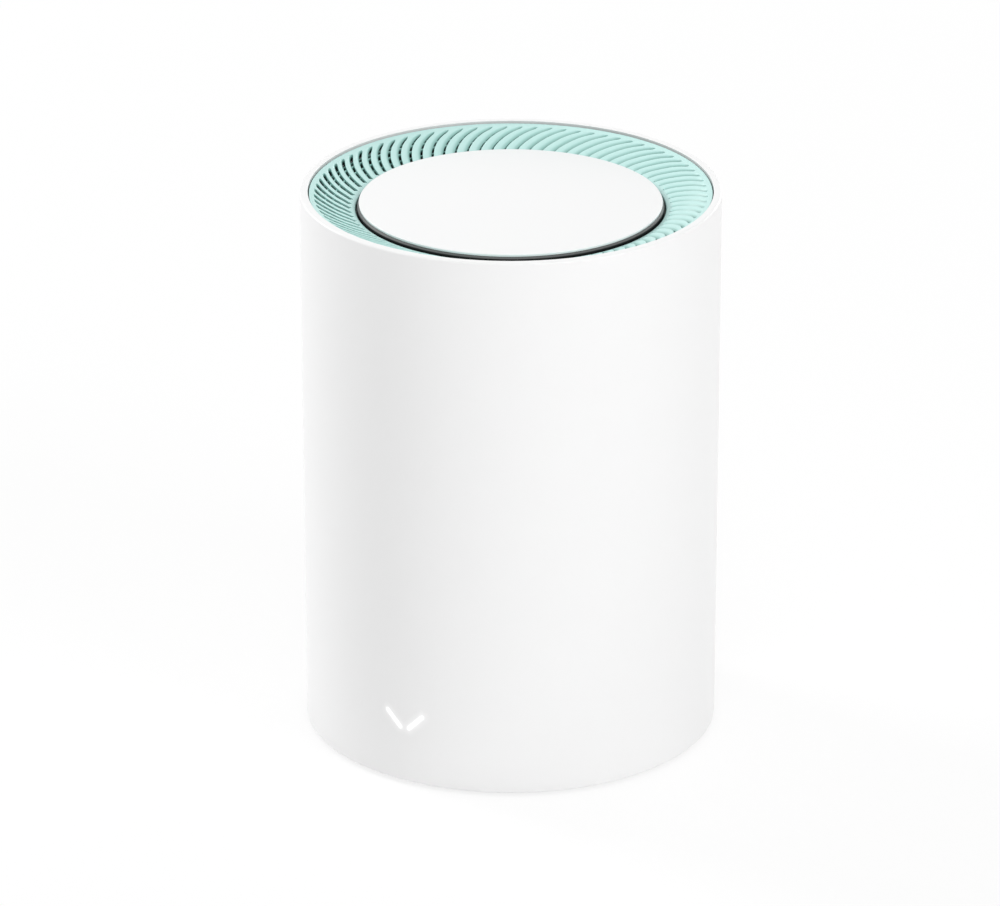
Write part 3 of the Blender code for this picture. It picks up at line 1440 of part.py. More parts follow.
def make_light():
    """The status light: its board and two diodes, the shroud round them, the two
    guides in the shell's pockets, and the lead to the main board."""
    half = SHROUD_HALF_WIDTH
    span_z = (light_z - SHROUD_HALF_HEIGHT, light_z + SHROUD_HALF_HEIGHT)
    board = block("light_board", (-half, half), (light_board_front, light_board_back), span_z, BOARD)
    outline = [(-half, span_z[0]), (half, span_z[0]), (half, span_z[1]), (-half, span_z[1])]
    peg_holes = []
    for side in (-1, 1):
        peg_holes.append(circle((side * LIGHT_PEG_SPACING, light_z), STUD_RADIUS + GAP))
        start = (side * LIGHT_PEG_SPACING, light_board_front - OVERSHOOT, light_z)
        depth = LIGHT_BOARD_THICKNESS + 2 * OVERSHOOT
        cut(board, peg_or_hole(f"light_board_hole_cutter_{side}", STUD_RADIUS + GAP, start, depth, "Y"))
    slots = [stroke_outline(side, SHROUD_SLOT_WIDTH / 2) for side in (-1, 1)]
    prism(
        "light_shroud",
        outline,
        (shroud_front, shroud_back),
        material=NATURAL,
        holes=slots + peg_holes,
    )
    middle = (STROKE_TOP + STROKE_FOOT) / 2
    for number, side, name in ((1, -1, "left"), (2, 1, "right")):
        prism(
            f"light_guide_{name}",
            stroke_outline(side, STROKE_WIDTH / 2),
            (light_pocket_front + GAP, shroud_front - GAP),
            material=CLEAR,
        )
        block(
            f"status_led_{number}",
            (side * middle - LED_SIDE / 2, side * middle + LED_SIDE / 2),
            (light_board_front - GAP - LED_HEIGHT, light_board_front - GAP),
            (light_z - LED_SIDE / 2, light_z + LED_SIDE / 2),
            LED_YELLOW,
        )
    plug_front = front_parts - LIGHT_PLUG_DEPTH
    plug = block(
        "light_plug",
        (-LIGHT_PLUG_WIDTH / 2, LIGHT_PLUG_WIDTH / 2),
        (plug_front, front_parts),
        (jack_bottom - LIGHT_PLUG_HEIGHT / 2, jack_bottom + LIGHT_PLUG_HEIGHT / 2),
        helper=True,
    )
    start = Vector((0, light_board_back + GAP, light_z))
    end = Vector((0, plug_front + GAP, jack_bottom))
    tail = Vector((0, LIGHT_LEAD_TAIL, 0))
    halfway = (start + end) / 2 - Vector((0, 0, LIGHT_LEAD_SAG))
    knots = [start, start + tail, halfway, end - tail, end]
    lead = tube("light_cable", through(knots, LEAD_STEPS), LIGHT_LEAD_RADIUS, BLACK)
    join(lead, plug)


make_shell()
make_base()
make_grille()
make_cap()
make_frame()
make_board()
make_ethernet_jack("wan", wan_x)
make_ethernet_jack("lan", lan_x)
make_power_jack()
make_port_panel()
make_button()
make_aerials()
make_light()
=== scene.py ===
import json
import math

import bmesh
import bpy
from mathutils import Matrix, Vector


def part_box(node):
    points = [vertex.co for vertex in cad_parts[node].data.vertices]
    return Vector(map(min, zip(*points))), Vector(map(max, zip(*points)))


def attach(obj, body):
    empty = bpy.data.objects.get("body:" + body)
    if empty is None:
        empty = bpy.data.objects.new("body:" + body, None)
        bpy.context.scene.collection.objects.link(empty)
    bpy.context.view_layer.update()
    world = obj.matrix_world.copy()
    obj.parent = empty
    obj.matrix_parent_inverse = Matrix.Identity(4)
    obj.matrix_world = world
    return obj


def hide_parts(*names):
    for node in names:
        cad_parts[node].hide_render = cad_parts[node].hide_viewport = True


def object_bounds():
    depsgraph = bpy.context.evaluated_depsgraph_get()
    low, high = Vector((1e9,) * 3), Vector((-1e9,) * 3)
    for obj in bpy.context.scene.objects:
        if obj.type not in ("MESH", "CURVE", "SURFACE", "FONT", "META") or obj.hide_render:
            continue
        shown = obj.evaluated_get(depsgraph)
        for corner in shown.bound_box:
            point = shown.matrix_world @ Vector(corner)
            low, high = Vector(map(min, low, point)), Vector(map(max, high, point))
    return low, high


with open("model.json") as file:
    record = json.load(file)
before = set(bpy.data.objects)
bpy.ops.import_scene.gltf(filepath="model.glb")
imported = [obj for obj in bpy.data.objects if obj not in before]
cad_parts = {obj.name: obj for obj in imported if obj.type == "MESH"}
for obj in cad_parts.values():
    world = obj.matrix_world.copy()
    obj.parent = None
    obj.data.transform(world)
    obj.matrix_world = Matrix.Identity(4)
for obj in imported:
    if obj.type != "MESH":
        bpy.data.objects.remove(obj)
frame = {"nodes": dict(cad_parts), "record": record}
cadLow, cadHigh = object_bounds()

mm = 0.001
home = bpy.context.scene.collection


def roundedCorners(corners, segments=4):
    # corners are (x, y, radius); each radius becomes an arc
    points = []
    for i, (x, y, radius) in enumerate(corners):
        here = Vector((x, y))
        if radius <= 0:
            points.append(here)
            continue
        toBefore = (Vector(corners[i - 1][:2]) - here).normalized()
        toAfter = (Vector(corners[(i + 1) % len(corners)][:2]) - here).normalized()
        half = toBefore.angle(toAfter) / 2
        centre = here + (toBefore + toAfter).normalized() * radius / math.sin(half)
        start = here + toBefore * radius / math.tan(half) - centre
        end = here + toAfter * radius / math.tan(half) - centre
        sweep = math.atan2(start.x * end.y - start.y * end.x, start.dot(end))
        for step in range(segments + 1):
            points.append(centre + Matrix.Rotation(sweep * step / segments, 2) @ start)
    return points


def closeUp(bm):
    bmesh.ops.remove_doubles(bm, verts=bm.verts, dist=0.0005 * mm)
    bmesh.ops.recalc_face_normals(bm, faces=bm.faces)
    return bm


def spunForm(profile, steps):
    # a closed profile of (radius, height), turned about the object's axis
    bm = bmesh.new()
    ring = [bm.verts.new((point[0], 0, point[1])) for point in profile]
    edges = [bm.edges.new((ring[i - 1], ring[i])) for i in range(len(ring))]
    bmesh.ops.spin(
        bm, geom=ring + edges, cent=(0, 0, 0), axis=(0, 0, 1), angle=2 * math.pi,
        steps=steps, use_merge=True, use_duplicate=False,
    )
    return closeUp(bm)


def slabForm(outline, low, high):
    # an (x, y) outline made solid between two heights
    bm = bmesh.new()
    face = bm.faces.new([bm.verts.new((point[0], point[1], low)) for point in outline])
    raised = bmesh.ops.extrude_face_region(bm, geom=[face])["geom"]
    verts = [v for v in raised if isinstance(v, bmesh.types.BMVert)]
    bmesh.ops.translate(bm, verts=verts, vec=(0, 0, high - low))
    return closeUp(bm)


def meshOf(name, bm):
    mesh = bpy.data.meshes.new(name)
    bm.to_mesh(mesh)
    bm.free()
    return mesh


def newObject(name, data):
    made = bpy.data.objects.new(name, data)
    home.objects.link(made)
    return made


def rodForm(radius, low, high, steps=32):
    bm = bmesh.new()
    bmesh.ops.create_cone(
        bm, cap_ends=True, segments=steps, radius1=radius, radius2=radius, depth=high - low
    )
    bmesh.ops.translate(bm, verts=bm.verts, vec=(0, 0, (low + high) / 2))
    return bm


def blockForm(low, high, edge=0.0):
    bm = bmesh.new()
    bmesh.ops.create_cube(bm, size=1)
    low, high = Vector(low), Vector(high)
    bmesh.ops.scale(bm, verts=bm.verts, vec=high - low)
    bmesh.ops.translate(bm, verts=bm.verts, vec=(low + high) / 2)
    if edge:
        bmesh.ops.bevel(
            bm, geom=bm.edges[:], offset=edge, offset_type="OFFSET", affect="EDGES",
            segments=2, profile=0.5, material=-1,
        )
    return bm


def rearSlab(outline, low, high):
    # an (x, z) outline made solid between two depths towards the rear
    form = slabForm([(x, -z) for x, z in outline], low, high)
    return moved(form, Matrix.Rotation(-math.pi / 2, 4, "X"))


def roundedBox(left, right, bottom, top, corner, segments=8):
    spots = ((left, bottom), (right, bottom), (right, top), (left, top))
    return roundedCorners([(*spot, corner) for spot in spots], segments)


def moved(bm, matrix):
    bmesh.ops.transform(bm, matrix=matrix, verts=bm.verts)
    return bm


def turned(bm, degrees):
    return moved(bm, Matrix.Rotation(math.radians(degrees), 4, "Z"))


def facingRear(x, y, z):
    # stands a form that was made along +Z so that it points to the rear
    return Matrix.Translation((x, y, z)) @ Matrix.Rotation(-math.pi / 2, 4, "X")


def polar(radius, angle):
    return Vector((radius * math.cos(angle), radius * math.sin(angle)))


def onCircle(radius, degrees, height=0):
    return Matrix.Translation((*polar(radius, math.radians(degrees)), height))


def smoothShare(value, low, high):
    # 0 up to low and 1 from high on, with a soft rise between
    share = min(1.0, max(0.0, (value - low) / (high - low)))
    return share * share * (3 - 2 * share)


def merged(*forms):
    whole = bmesh.new()
    for form in forms:
        mesh = meshOf("part", form)
        whole.from_mesh(mesh)
        bpy.data.meshes.remove(mesh)
    return whole


def carved(form, cutters, operation="DIFFERENCE"):
    temps = [newObject("carving", meshOf("carving", bm)) for bm in (form, *cutters)]
    host = temps[0]
    for cutter in temps[1:]:
        modifier = host.modifiers.new("cut", "BOOLEAN")
        modifier.operation = operation
        modifier.solver = "EXACT"
        modifier.object = cutter
    bpy.context.view_layer.update()
    graph = bpy.context.evaluated_depsgraph_get()
    result = bmesh.new()
    result.from_mesh(host.evaluated_get(graph).to_mesh())
    for temp in temps:
        mesh = temp.data
        bpy.data.objects.remove(temp)
        bpy.data.meshes.remove(mesh)
    return result


def makePiece(name, bm, slot, nodes, body="housing", sharp=40):
    mesh = meshOf(name, bm)
    mesh.materials.append(finishes[slot])
    mesh.shade_smooth()
    mesh.set_sharp_from_angle(angle=math.radians(sharp))
    piece = newObject(name, mesh)
    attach(piece, body)
    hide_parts(*nodes)
    return piece


def feed(tree, socket, value):
    # links a socket to another node's output, or sets its value
    if isinstance(value, bpy.types.NodeSocket):
        tree.links.new(value, socket)
    else:
        socket.default_value = value


def newNode(tree, kind, inputs=None, **settings):
    made = tree.nodes.new(kind)
    for key, value in settings.items():
        setattr(made, key, value)
    for key, value in (inputs or {}).items():
        feed(tree, made.inputs[key], value)
    return made


def mathNode(tree, operation, a, b, clamp=False):
    made = newNode(tree, "ShaderNodeMath", {0: a, 1: b}, operation=operation, use_clamp=clamp)
    return made.outputs[0]


def vectorNode(tree, operation, a, b=None):
    made = newNode(tree, "ShaderNodeVectorMath", {0: a}, operation=operation)
    if b is not None:
        feed(tree, made.inputs["Scale" if operation == "SCALE" else 1], b)
    return made.outputs["Value" if operation in ("LENGTH", "DISTANCE", "DOT_PRODUCT") else "Vector"]


def rangeNode(tree, value, fromLow=0.0, fromHigh=1.0, toLow=0.0, toHigh=1.0, blend="LINEAR"):
    made = newNode(tree, "ShaderNodeMapRange", {"Value": value}, interpolation_type=blend)
    limits = (fromLow, fromHigh, toLow, toHigh)
    for label, limit in zip(("From Min", "From Max", "To Min", "To Max"), limits):
        feed(tree, made.inputs[label], limit)
    return made.outputs[0]


def noiseNode(tree, point, scale, detail=2.0):
    inputs = {"Vector": point, "Scale": scale, "Detail": detail}
    return newNode(tree, "ShaderNodeTexNoise", inputs).outputs["Fac"]


def reliefNode(tree, height, strength, distance):
    inputs = {"Height": height, "Strength": strength, "Distance": distance}
    return newNode(tree, "ShaderNodeBump", inputs).outputs["Normal"]


def objectPoint(tree):
    return newNode(tree, "ShaderNodeTexCoord").outputs["Object"]


def axisDistance(tree, point):
    return vectorNode(tree, "LENGTH", vectorNode(tree, "MULTIPLY", point, (1, 1, 0)))


def partOf(tree, point, axis):
    return newNode(tree, "ShaderNodeSeparateXYZ", {0: point}).outputs[axis]


def newGroup(name, inputs, outputs):
    # inputs give each label its value, outputs how many numbers it carries
    group = bpy.data.node_groups.new(name, "ShaderNodeTree")
    kinds = {1: "NodeSocketFloat", 3: "NodeSocketVector", 4: "NodeSocketColor"}
    for label, value in inputs.items():
        size = len(value) if isinstance(value, tuple) else 1
        socket = group.interface.new_socket(name=label, in_out="INPUT", socket_type=kinds[size])
        socket.default_value = value
    for label, size in outputs.items():
        group.interface.new_socket(name=label, in_out="OUTPUT", socket_type=kinds[size])
    given, out = newNode(group, "NodeGroupInput"), newNode(group, "NodeGroupOutput")
    return group, given.outputs, out.inputs


skins = {
    "outputs": {"Colour": 4, "Roughness": 1, "Normal": 3},
    "slowScale": 55.0,  # per metre, of a moulding's slow changes
    "mouldedRelief": 0.02 * mm,
    "cloudScale": 220.0,  # per metre, of the clouds on metal
    "cloudTones": (0.92, 1.06),
    "cloudGloss": 0.2,
    "platedRelief": 0.01 * mm,
}


def makeMouldedSkin():
    # fine spark texture of a moulding, with slow changes of tone and gloss
    group, given, out = newGroup("mouldedSkin", {
        "Colour": (0.8, 0.8, 0.8, 1), "Grain Size": 0.25, "Grain Depth": 0.1,
        "Mottle": 0.01, "Roughness": 0.5, "Gloss Change": 0.04,
    }, skins["outputs"])
    point = objectPoint(group)
    grain = noiseNode(group, point, mathNode(group, "DIVIDE", 1000.0, given["Grain Size"]))
    slow = mathNode(group, "SUBTRACT", noiseNode(group, point, skins["slowScale"], 3.0), 0.5)
    tone = mathNode(group, "ADD", mathNode(group, "MULTIPLY", slow, given["Mottle"]), 1.0)
    sheen = mathNode(group, "MULTIPLY", slow, given["Gloss Change"])
    feed(group, out["Colour"], vectorNode(group, "SCALE", given["Colour"], tone))
    feed(group, out["Roughness"], mathNode(group, "ADD", sheen, given["Roughness"], clamp=True))
    feed(group, out["Normal"], reliefNode(group, grain, given["Grain Depth"], skins["mouldedRelief"]))
    return group


def makePlatedSkin():
    # drawn metal: long fine lines, and a cloudy change of gloss
    group, given, out = newGroup("platedSkin", {
        "Colour": (0.7, 0.7, 0.7, 1), "Roughness": 0.3,
        "Lines": (40.0, 900.0, 900.0), "Line Depth": 0.15,
    }, skins["outputs"])
    point = objectPoint(group)
    lines = noiseNode(group, vectorNode(group, "MULTIPLY", point, given["Lines"]), 1.0, 3.0)
    cloud = noiseNode(group, point, skins["cloudScale"])
    low, high = skins["cloudTones"]
    tone = rangeNode(group, cloud, toLow=low, toHigh=high)
    change = mathNode(group, "MULTIPLY", mathNode(group, "SUBTRACT", cloud, 0.5), skins["cloudGloss"])
    feed(group, out["Colour"], vectorNode(group, "SCALE", given["Colour"], tone))
    feed(group, out["Roughness"], mathNode(group, "ADD", change, given["Roughness"], clamp=True))
    feed(group, out["Normal"], reliefNode(group, lines, given["Line Depth"], skins["platedRelief"]))
    return group


def makeStrokeMask():
    # how near a point is to a lit stroke on the sleeve's front: its core and its halo
    group, given, out = newGroup("strokeMask", {
        "Foot": (0, 0, 0), "Top": (0, 0, 0), "Half Width": 0.6 * mm, "Edge": 0.25 * mm, "Halo": 2 * mm,
    }, {"Core": 1, "Halo": 1})
    point = objectPoint(group)
    stroke = vectorNode(group, "SUBTRACT", given["Top"], given["Foot"])
    flat = vectorNode(group, "MULTIPLY", point, (1, 0, 1))
    reach = vectorNode(group, "SUBTRACT", flat, given["Foot"])
    travelled = vectorNode(group, "DOT_PRODUCT", reach, stroke)
    whole = vectorNode(group, "DOT_PRODUCT", stroke, stroke)
    share = mathNode(group, "DIVIDE", travelled, whole, clamp=True)
    distance = vectorNode(group, "DISTANCE", reach, vectorNode(group, "SCALE", stroke, share))
    near = mathNode(group, "SUBTRACT", given["Half Width"], given["Edge"])
    far = mathNode(group, "ADD", given["Half Width"], given["Edge"])
    core = rangeNode(group, distance, near, far, 1.0, 0.0, "SMOOTHSTEP")
    halo = rangeNode(group, distance, 0.0, given["Halo"], 1.0, 0.0, "SMOOTHERSTEP")
    front = mathNode(group, "LESS_THAN", partOf(group, point, "Y"), 0.0)
    feed(group, out["Core"], mathNode(group, "MULTIPLY", core, front))
    feed(group, out["Halo"], mathNode(group, "MULTIPLY", halo, front))
    return group


def makeSlotShade():
    # painted shade: darkens the vanes' flanks and the hoops under them, by depth below the dished top
    group, given, out = newGroup("slotShade", {
        "Colour": (0.6, 0.8, 0.8, 1), "Edge Height": 0.14, "Outer": 0.05, "Slope": 0.32,
        "Crown": 0.0, "Crown From": 0.042, "Crown To": 0.047,
        "Dip": 0.0, "Well": 0.04, "Dip From": 0.042, "Reach": mm,
    }, {"Colour": 4})
    point = objectPoint(group)
    radius = axisDistance(group, point)
    inwards = mathNode(group, "SUBTRACT", given["Outer"], radius)
    fall = mathNode(group, "MULTIPLY", inwards, given["Slope"])
    swell = rangeNode(
        group, radius, given["Crown From"], given["Crown To"], 0.0, given["Crown"], "SMOOTHSTEP"
    )
    dip = rangeNode(group, radius, given["Well"], given["Dip From"], given["Dip"], 0.0, "SMOOTHSTEP")
    surface = mathNode(group, "SUBTRACT", given["Edge Height"], fall)
    surface = mathNode(group, "SUBTRACT", mathNode(group, "ADD", surface, swell), dip)
    depth = mathNode(group, "SUBTRACT", surface, partOf(group, point, "Z"))
    share = mathNode(group, "DIVIDE", depth, given["Reach"], clamp=True)
    ramp = newNode(group, "ShaderNodeValToRGB", {"Fac": share})
    stops = [(0.0, (1, 1, 1)), (0.08, (0.95, 0.97, 0.97)), (0.3, (0.62, 0.72, 0.70)),
             (0.5, (0.50, 0.60, 0.58)), (0.75, (0.15, 0.24, 0.22)), (1.0, (0.02, 0.04, 0.035))]
    elements = ramp.color_ramp.elements
    while len(elements) < len(stops):
        elements.new(0.5)
    for element, (position, colour) in zip(elements, stops):
        element.position = position
        element.color = (*colour, 1)
    tint = vectorNode(group, "MULTIPLY", given["Colour"], ramp.outputs["Color"])
    feed(group, out["Colour"], tint)
    return group


mouldedSkin = makeMouldedSkin()
slotShade = makeSlotShade()
platedSkin = makePlatedSkin()
strokeMask = makeStrokeMask()


def newMaterial(name, skin, values, **shaderValues):
    # a Principled material whose colour, gloss and relief come from one of the skins
    material = bpy.data.materials.new(name)
    material.use_nodes = True
    tree = material.node_tree
    shader = tree.nodes["Principled BSDF"]
    cover = newNode(tree, "ShaderNodeGroup", values, node_tree=skin, name="skin")
    for label, target in (("Colour", "Base Color"), ("Roughness", "Roughness"), ("Normal", "Normal")):
        tree.links.new(cover.outputs[label], shader.inputs[target])
    for key, value in shaderValues.items():
        shader.inputs[key.replace("_", " ")].default_value = value
    return material


def repaint(material, colour):
    tree = material.node_tree
    tree.links.new(colour, tree.nodes["Principled BSDF"].inputs["Base Color"])


def plastic(name, colour, roughness, size=0.25, depth=0.1, mottle=0.02, **shaderValues):
    values = {
        "Colour": (*colour, 1), "Roughness": roughness, "Grain Size": size,
        "Grain Depth": depth, "Mottle": mottle,
    }
    return newMaterial(name, mouldedSkin, values, **shaderValues)


def metal(name, colour, roughness, lines=(40.0, 900.0, 900.0), depth=0.15):
    values = {"Colour": (*colour, 1), "Roughness": roughness, "Lines": lines, "Line Depth": depth}
    return newMaterial(name, platedSkin, values, Metallic=1.0)


finishes = {
    "white_shell": plastic(
        "whiteSatin", (0.90, 0.90, 0.90), 0.38, 0.3, 0.06, 0.006, Specular_IOR_Level=0.35
    ),
    "mint_plastic": plastic("mintSatin", (0.57, 0.84, 0.805), 0.45, 0.22, 0.08, 0.02),
    "dark_gloss": plastic(
        "darkGloss", (0.02, 0.02, 0.022), 0.45, 0.8, 0.02, 0.1, Specular_IOR_Level=0.2
    ),
    "black_plastic": plastic("blackTexture", (0.025, 0.025, 0.027), 0.5, 0.2, 0.4, 0.2),
    "foot_rubber": plastic("footRubber", (0.07, 0.07, 0.07), 0.85, 0.15, 0.5, 0.2),
    "plated_steel": metal("platedSteel", (0.62, 0.62, 0.60), 0.3),
    "aluminium": metal("extrudedAluminium", (0.66, 0.67, 0.68), 0.4, (900.0, 900.0, 30.0), 0.3),
    "gold_plating": metal("goldPlating", (0.83, 0.62, 0.25), 0.25),
    "natural_plastic": plastic("naturalMoulding", (0.72, 0.72, 0.70), 0.5, 0.3, 0.2, 0.05),
    "circuit_board": plastic("circuitGreen", (0.02, 0.16, 0.08), 0.4, 0.8, 0.3, 0.5),
    "thermal_pad": plastic("thermalPad", (0.35, 0.45, 0.60), 0.9, 0.3, 0.5, 0.1),
    "clear_plastic": plastic("clearGuide", (0.92, 0.94, 0.95), 0.15, 0.8, 0.05, 0.01),
    "led_body": plastic("diodeYellow", (0.90, 0.86, 0.55), 0.4, 0.3, 0.1, 0.1),
    "cable_jacket": plastic("leadJacket", (0.025, 0.025, 0.027), 0.4, 0.4, 0.2, 0.2),
}

strokes = {
    "foot": (1.25 * mm, 15.65 * mm),  # across from the middle, height
    "top": (4.92 * mm, 19.32 * mm),
    "halfWidth": 0.5 * mm,
    "edge": 0.25 * mm,  # how softly the stroke's side fades
    "halo": 2.4 * mm,
    "coreStrength": 0.5,
    "haloStrength": 0.08,
}


def lightStrokes(material):
    # the two lit strokes, which shine through the sleeve's front wall
    tree = material.node_tree
    lights = []
    for side in (-1, 1):
        mask = newNode(tree, "ShaderNodeGroup", {
            "Foot": (side * strokes["foot"][0], 0, strokes["foot"][1]),
            "Top": (side * strokes["top"][0], 0, strokes["top"][1]),
            "Half Width": strokes["halfWidth"],
            "Edge": strokes["edge"],
            "Halo": strokes["halo"],
        }, node_tree=strokeMask).outputs
        core = mathNode(tree, "MULTIPLY", mask["Core"], strokes["coreStrength"])
        halo = mathNode(tree, "MULTIPLY", mask["Halo"], strokes["haloStrength"])
        lights.append(mathNode(tree, "ADD", core, halo))
    both = mathNode(tree, "ADD", *lights)
    glow = newNode(tree, "ShaderNodeCombineColor", {0: both, 1: both, 2: both})
    shader = tree.nodes["Principled BSDF"]
    tree.links.new(glow.outputs[0], shader.inputs["Emission Color"])
    shader.inputs["Emission Strength"].default_value = 1.0
    material.cycles.emission_sampling = "NONE"  # too faint to light anything else


lightStrokes(finishes["white_shell"])

inside = {
    "between": (47.0 * mm, 50.12 * mm),  # radii that take in the ledge and the wall's inner side
    "lipTop": 140.88 * mm,  # below this the inner side of the rim is painted grey, as painted shade from the grille
    "lipShadeTone": 0.7,
    "ledge": 137.9 * mm,  # below this the inside is painted nearly black, as painted shade deep under the grille
    "deepShadeTone": 0.05,
}


def shadeInside(material):
    # painted shade on the sleeve's inner side: a grey lip over the ledge, and near black below it
    tree = material.node_tree
    point = objectPoint(tree)
    radius, height = axisDistance(tree, point), partOf(tree, point, "Z")
    near, far = inside["between"]
    beyond = mathNode(tree, "GREATER_THAN", radius, near)
    within = mathNode(tree, "MULTIPLY", beyond, mathNode(tree, "LESS_THAN", radius, far))
    tone = 1.0
    for limit, step in (
        ("lipTop", 1 - inside["lipShadeTone"]), ("ledge", inside["lipShadeTone"] - inside["deepShadeTone"])
    ):
        shaded = mathNode(tree, "MULTIPLY", within, mathNode(tree, "LESS_THAN", height, inside[limit]))
        tone = mathNode(tree, "SUBTRACT", tone, mathNode(tree, "MULTIPLY", shaded, step))
    repaint(material, vectorNode(tree, "SCALE", tree.nodes["skin"].outputs["Colour"], tone))


shadeInside(finishes["white_shell"])

for entry in frame["record"]["subparts"]:
    node = frame["nodes"][entry["node"]]
    node.data.materials.clear()
    node.data.materials.append(finishes[entry["material_slot"]])
print("materials made")

sleeve = {
    "drawnIn": 0.2 * mm,  # smaller at the foot than at the rim
    "wall": 2.0 * mm,
    "rimOuterFillet": 0.55 * mm,
    "rimInnerFillet": 0.1 * mm,
    "footFillet": 0.35 * mm,
    "ledgeWidth": 1.4 * mm,
    "ledgeTop": 138.02 * mm,
    "ledgeThickness": 1.2 * mm,
    "rabbetWall": 0.9 * mm,
    "rabbetTop": 4.0 * mm,
    "window": (24.2 * mm, 11.0 * mm, 31.0 * mm, 3.0 * mm),  # half width, bottom, top, corner
    "edgeRound": 0.1 * mm,
    "steps": 256,
}
shellLow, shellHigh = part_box("outer_shell")
rimRadius = cadHigh.x
footRadius = rimRadius - sleeve["drawnIn"]
rimInner = rimRadius - sleeve["wall"]
footInner = footRadius - sleeve["wall"]
gap = 0.3 * mm  # clearance round what is pushed in


def makeSleeve():
    ledgeInner = rimInner - sleeve["ledgeWidth"]
    rabbet = footRadius - sleeve["rabbetWall"]
    soft = sleeve["edgeRound"]
    profile = roundedCorners([
        (rimRadius, shellHigh.z, sleeve["rimOuterFillet"]),
        (footRadius, shellLow.z, sleeve["footFillet"]),
        (rabbet, shellLow.z, soft),
        (rabbet, sleeve["rabbetTop"], 0),
        (footInner, sleeve["rabbetTop"], soft),
        (rimInner, sleeve["ledgeTop"] - sleeve["ledgeThickness"], 0),
        (ledgeInner, sleeve["ledgeTop"] - sleeve["ledgeThickness"], soft),
        (ledgeInner, sleeve["ledgeTop"], soft),
        (rimInner, sleeve["ledgeTop"], 0),
        (rimInner, shellHigh.z, sleeve["rimInnerFillet"]),
    ], segments=6)
    half, bottom, top, corner = sleeve["window"]
    window = rearSlab(roundedBox(-half, half, bottom, top, corner, 10), 0, rimRadius + mm)
    return carved(spunForm(profile, sleeve["steps"]), [window])


makePiece("shell_sleeve", makeSleeve(), "white_shell", ["outer_shell"])
print("sleeve made")

grille = {
    "outer": 49.7 * mm,
    "edgeHeight": 140.18 * mm,
    "slope": math.radians(17.95),
    "crown": 0.15 * mm,  # how far the dish swells towards its outer band
    "crownFrom": 42.5 * mm,
    "crownTo": 47.0 * mm,
    "bandRise": 0.06 * mm,  # the outer band turns up to meet the rim
    "bandCurve": 1.6,
    "well": 38.3 * mm,
    "wellRound": 0.22 * mm,
    "dip": 0.25 * mm,  # how far the dish dips at its well
    "dipFrom": 41.5 * mm,
    "slotOuter": 48.5 * mm,
    "slotInner": 39.25 * mm,
    "vanes": 80,
    "phase": -0.09,  # degrees, outer end of the first slot
    "slotHalf": (0.38 * mm, 0.30 * mm),  # half width, in the outer and inner part
    "slotTips": (1.5 * mm, 0.3 * mm),  # how far it narrows towards its outer and inner end
    "slotEase": 0.9 * mm,  # from a slot's end until the vane has its full roll
    "arcRadius": 14.58 * mm,
    "lean": math.radians(61.8),  # from the radius, at a slot's outer end
    "rollWidth": 0.65,  # share of a vane's width that rolls down into the slot
    "rollCurve": 2.2,
    "drop": 0.6 * mm,  # how far the rolled side falls
    "edgeRound": 0.1 * mm,
    "edgeWidth": 0.1,  # share of a vane's width that the rounded edge takes
    "depth": 1.41 * mm,
    "flangeBottom": 138.32 * mm,
    "hoops": (  # radius, and depth below the dish
        (41.9 * mm, 0.75 * mm), (43.85 * mm, 0.55 * mm), (45.7 * mm, 0.55 * mm), (47.0 * mm, 0.8 * mm)
    ),
    "hoopWidth": 0.6 * mm,
    "hoopCrest": 0.6,  # share of its width that its top keeps
    "hoopRound": 0.12 * mm,
    "hoopLap": 0.02 * mm,
    "skirtWall": 0.8 * mm,
    "skirtDrop": 0.4 * mm,
    "floorTop": 134.9 * mm,
    "floorBottom": 133.4 * mm,
    "bossBottom": 130.5 * mm,
    "bossCircle": 29.97 * mm,
    "bossAngles": (30, 150, 270),
    "bossRadius": 3.3 * mm,
    "bossHole": 1.5 * mm,
    "clipAngles": (90, 210, 330),
    "clipSlot": (22.27 * mm, 24.97 * mm, 2.8 * mm),  # from, to, half width
    "shadeReach": 1.2 * mm,
}
pitch = 2 * math.pi / grille["vanes"]


def shadeSlots(material):
    # paints the slots' shade into the mint's own colour
    tree = material.node_tree
    values = {
        "Colour": tree.nodes["skin"].outputs["Colour"],
        "Slope": math.tan(grille["slope"]),
        "Reach": grille["shadeReach"],
    }
    for label, key in (
        ("Edge Height", "edgeHeight"), ("Outer", "outer"), ("Well", "well"),
        ("Crown", "crown"), ("Crown From", "crownFrom"), ("Crown To", "crownTo"),
        ("Dip", "dip"), ("Dip From", "dipFrom"),
    ):
        values[label] = grille[key]
    shade = newNode(tree, "ShaderNodeGroup", values, node_tree=slotShade)
    repaint(material, shade.outputs["Colour"])


shadeSlots(finishes["mint_plastic"])


def dishHeight(radius):
    swell = grille["crown"] * smoothShare(radius, grille["crownFrom"], grille["crownTo"])
    swell -= grille["dip"] * (1 - smoothShare(radius, grille["well"], grille["dipFrom"]))
    return grille["edgeHeight"] - (grille["outer"] - radius) * math.tan(grille["slope"]) + swell


slotCentre = Vector((grille["slotOuter"], 0)) - grille["arcRadius"] * Vector(
    (math.sin(grille["lean"]), math.cos(grille["lean"]))
)


def slotEndAngle(radius):
    # angle about slotCentre at which a slot's middle line crosses this radius
    reach = slotCentre.length
    cosine = (radius**2 - reach**2 - grille["arcRadius"] ** 2) / (2 * reach * grille["arcRadius"])
    return math.atan2(slotCentre.y, slotCentre.x) + math.acos(cosine)


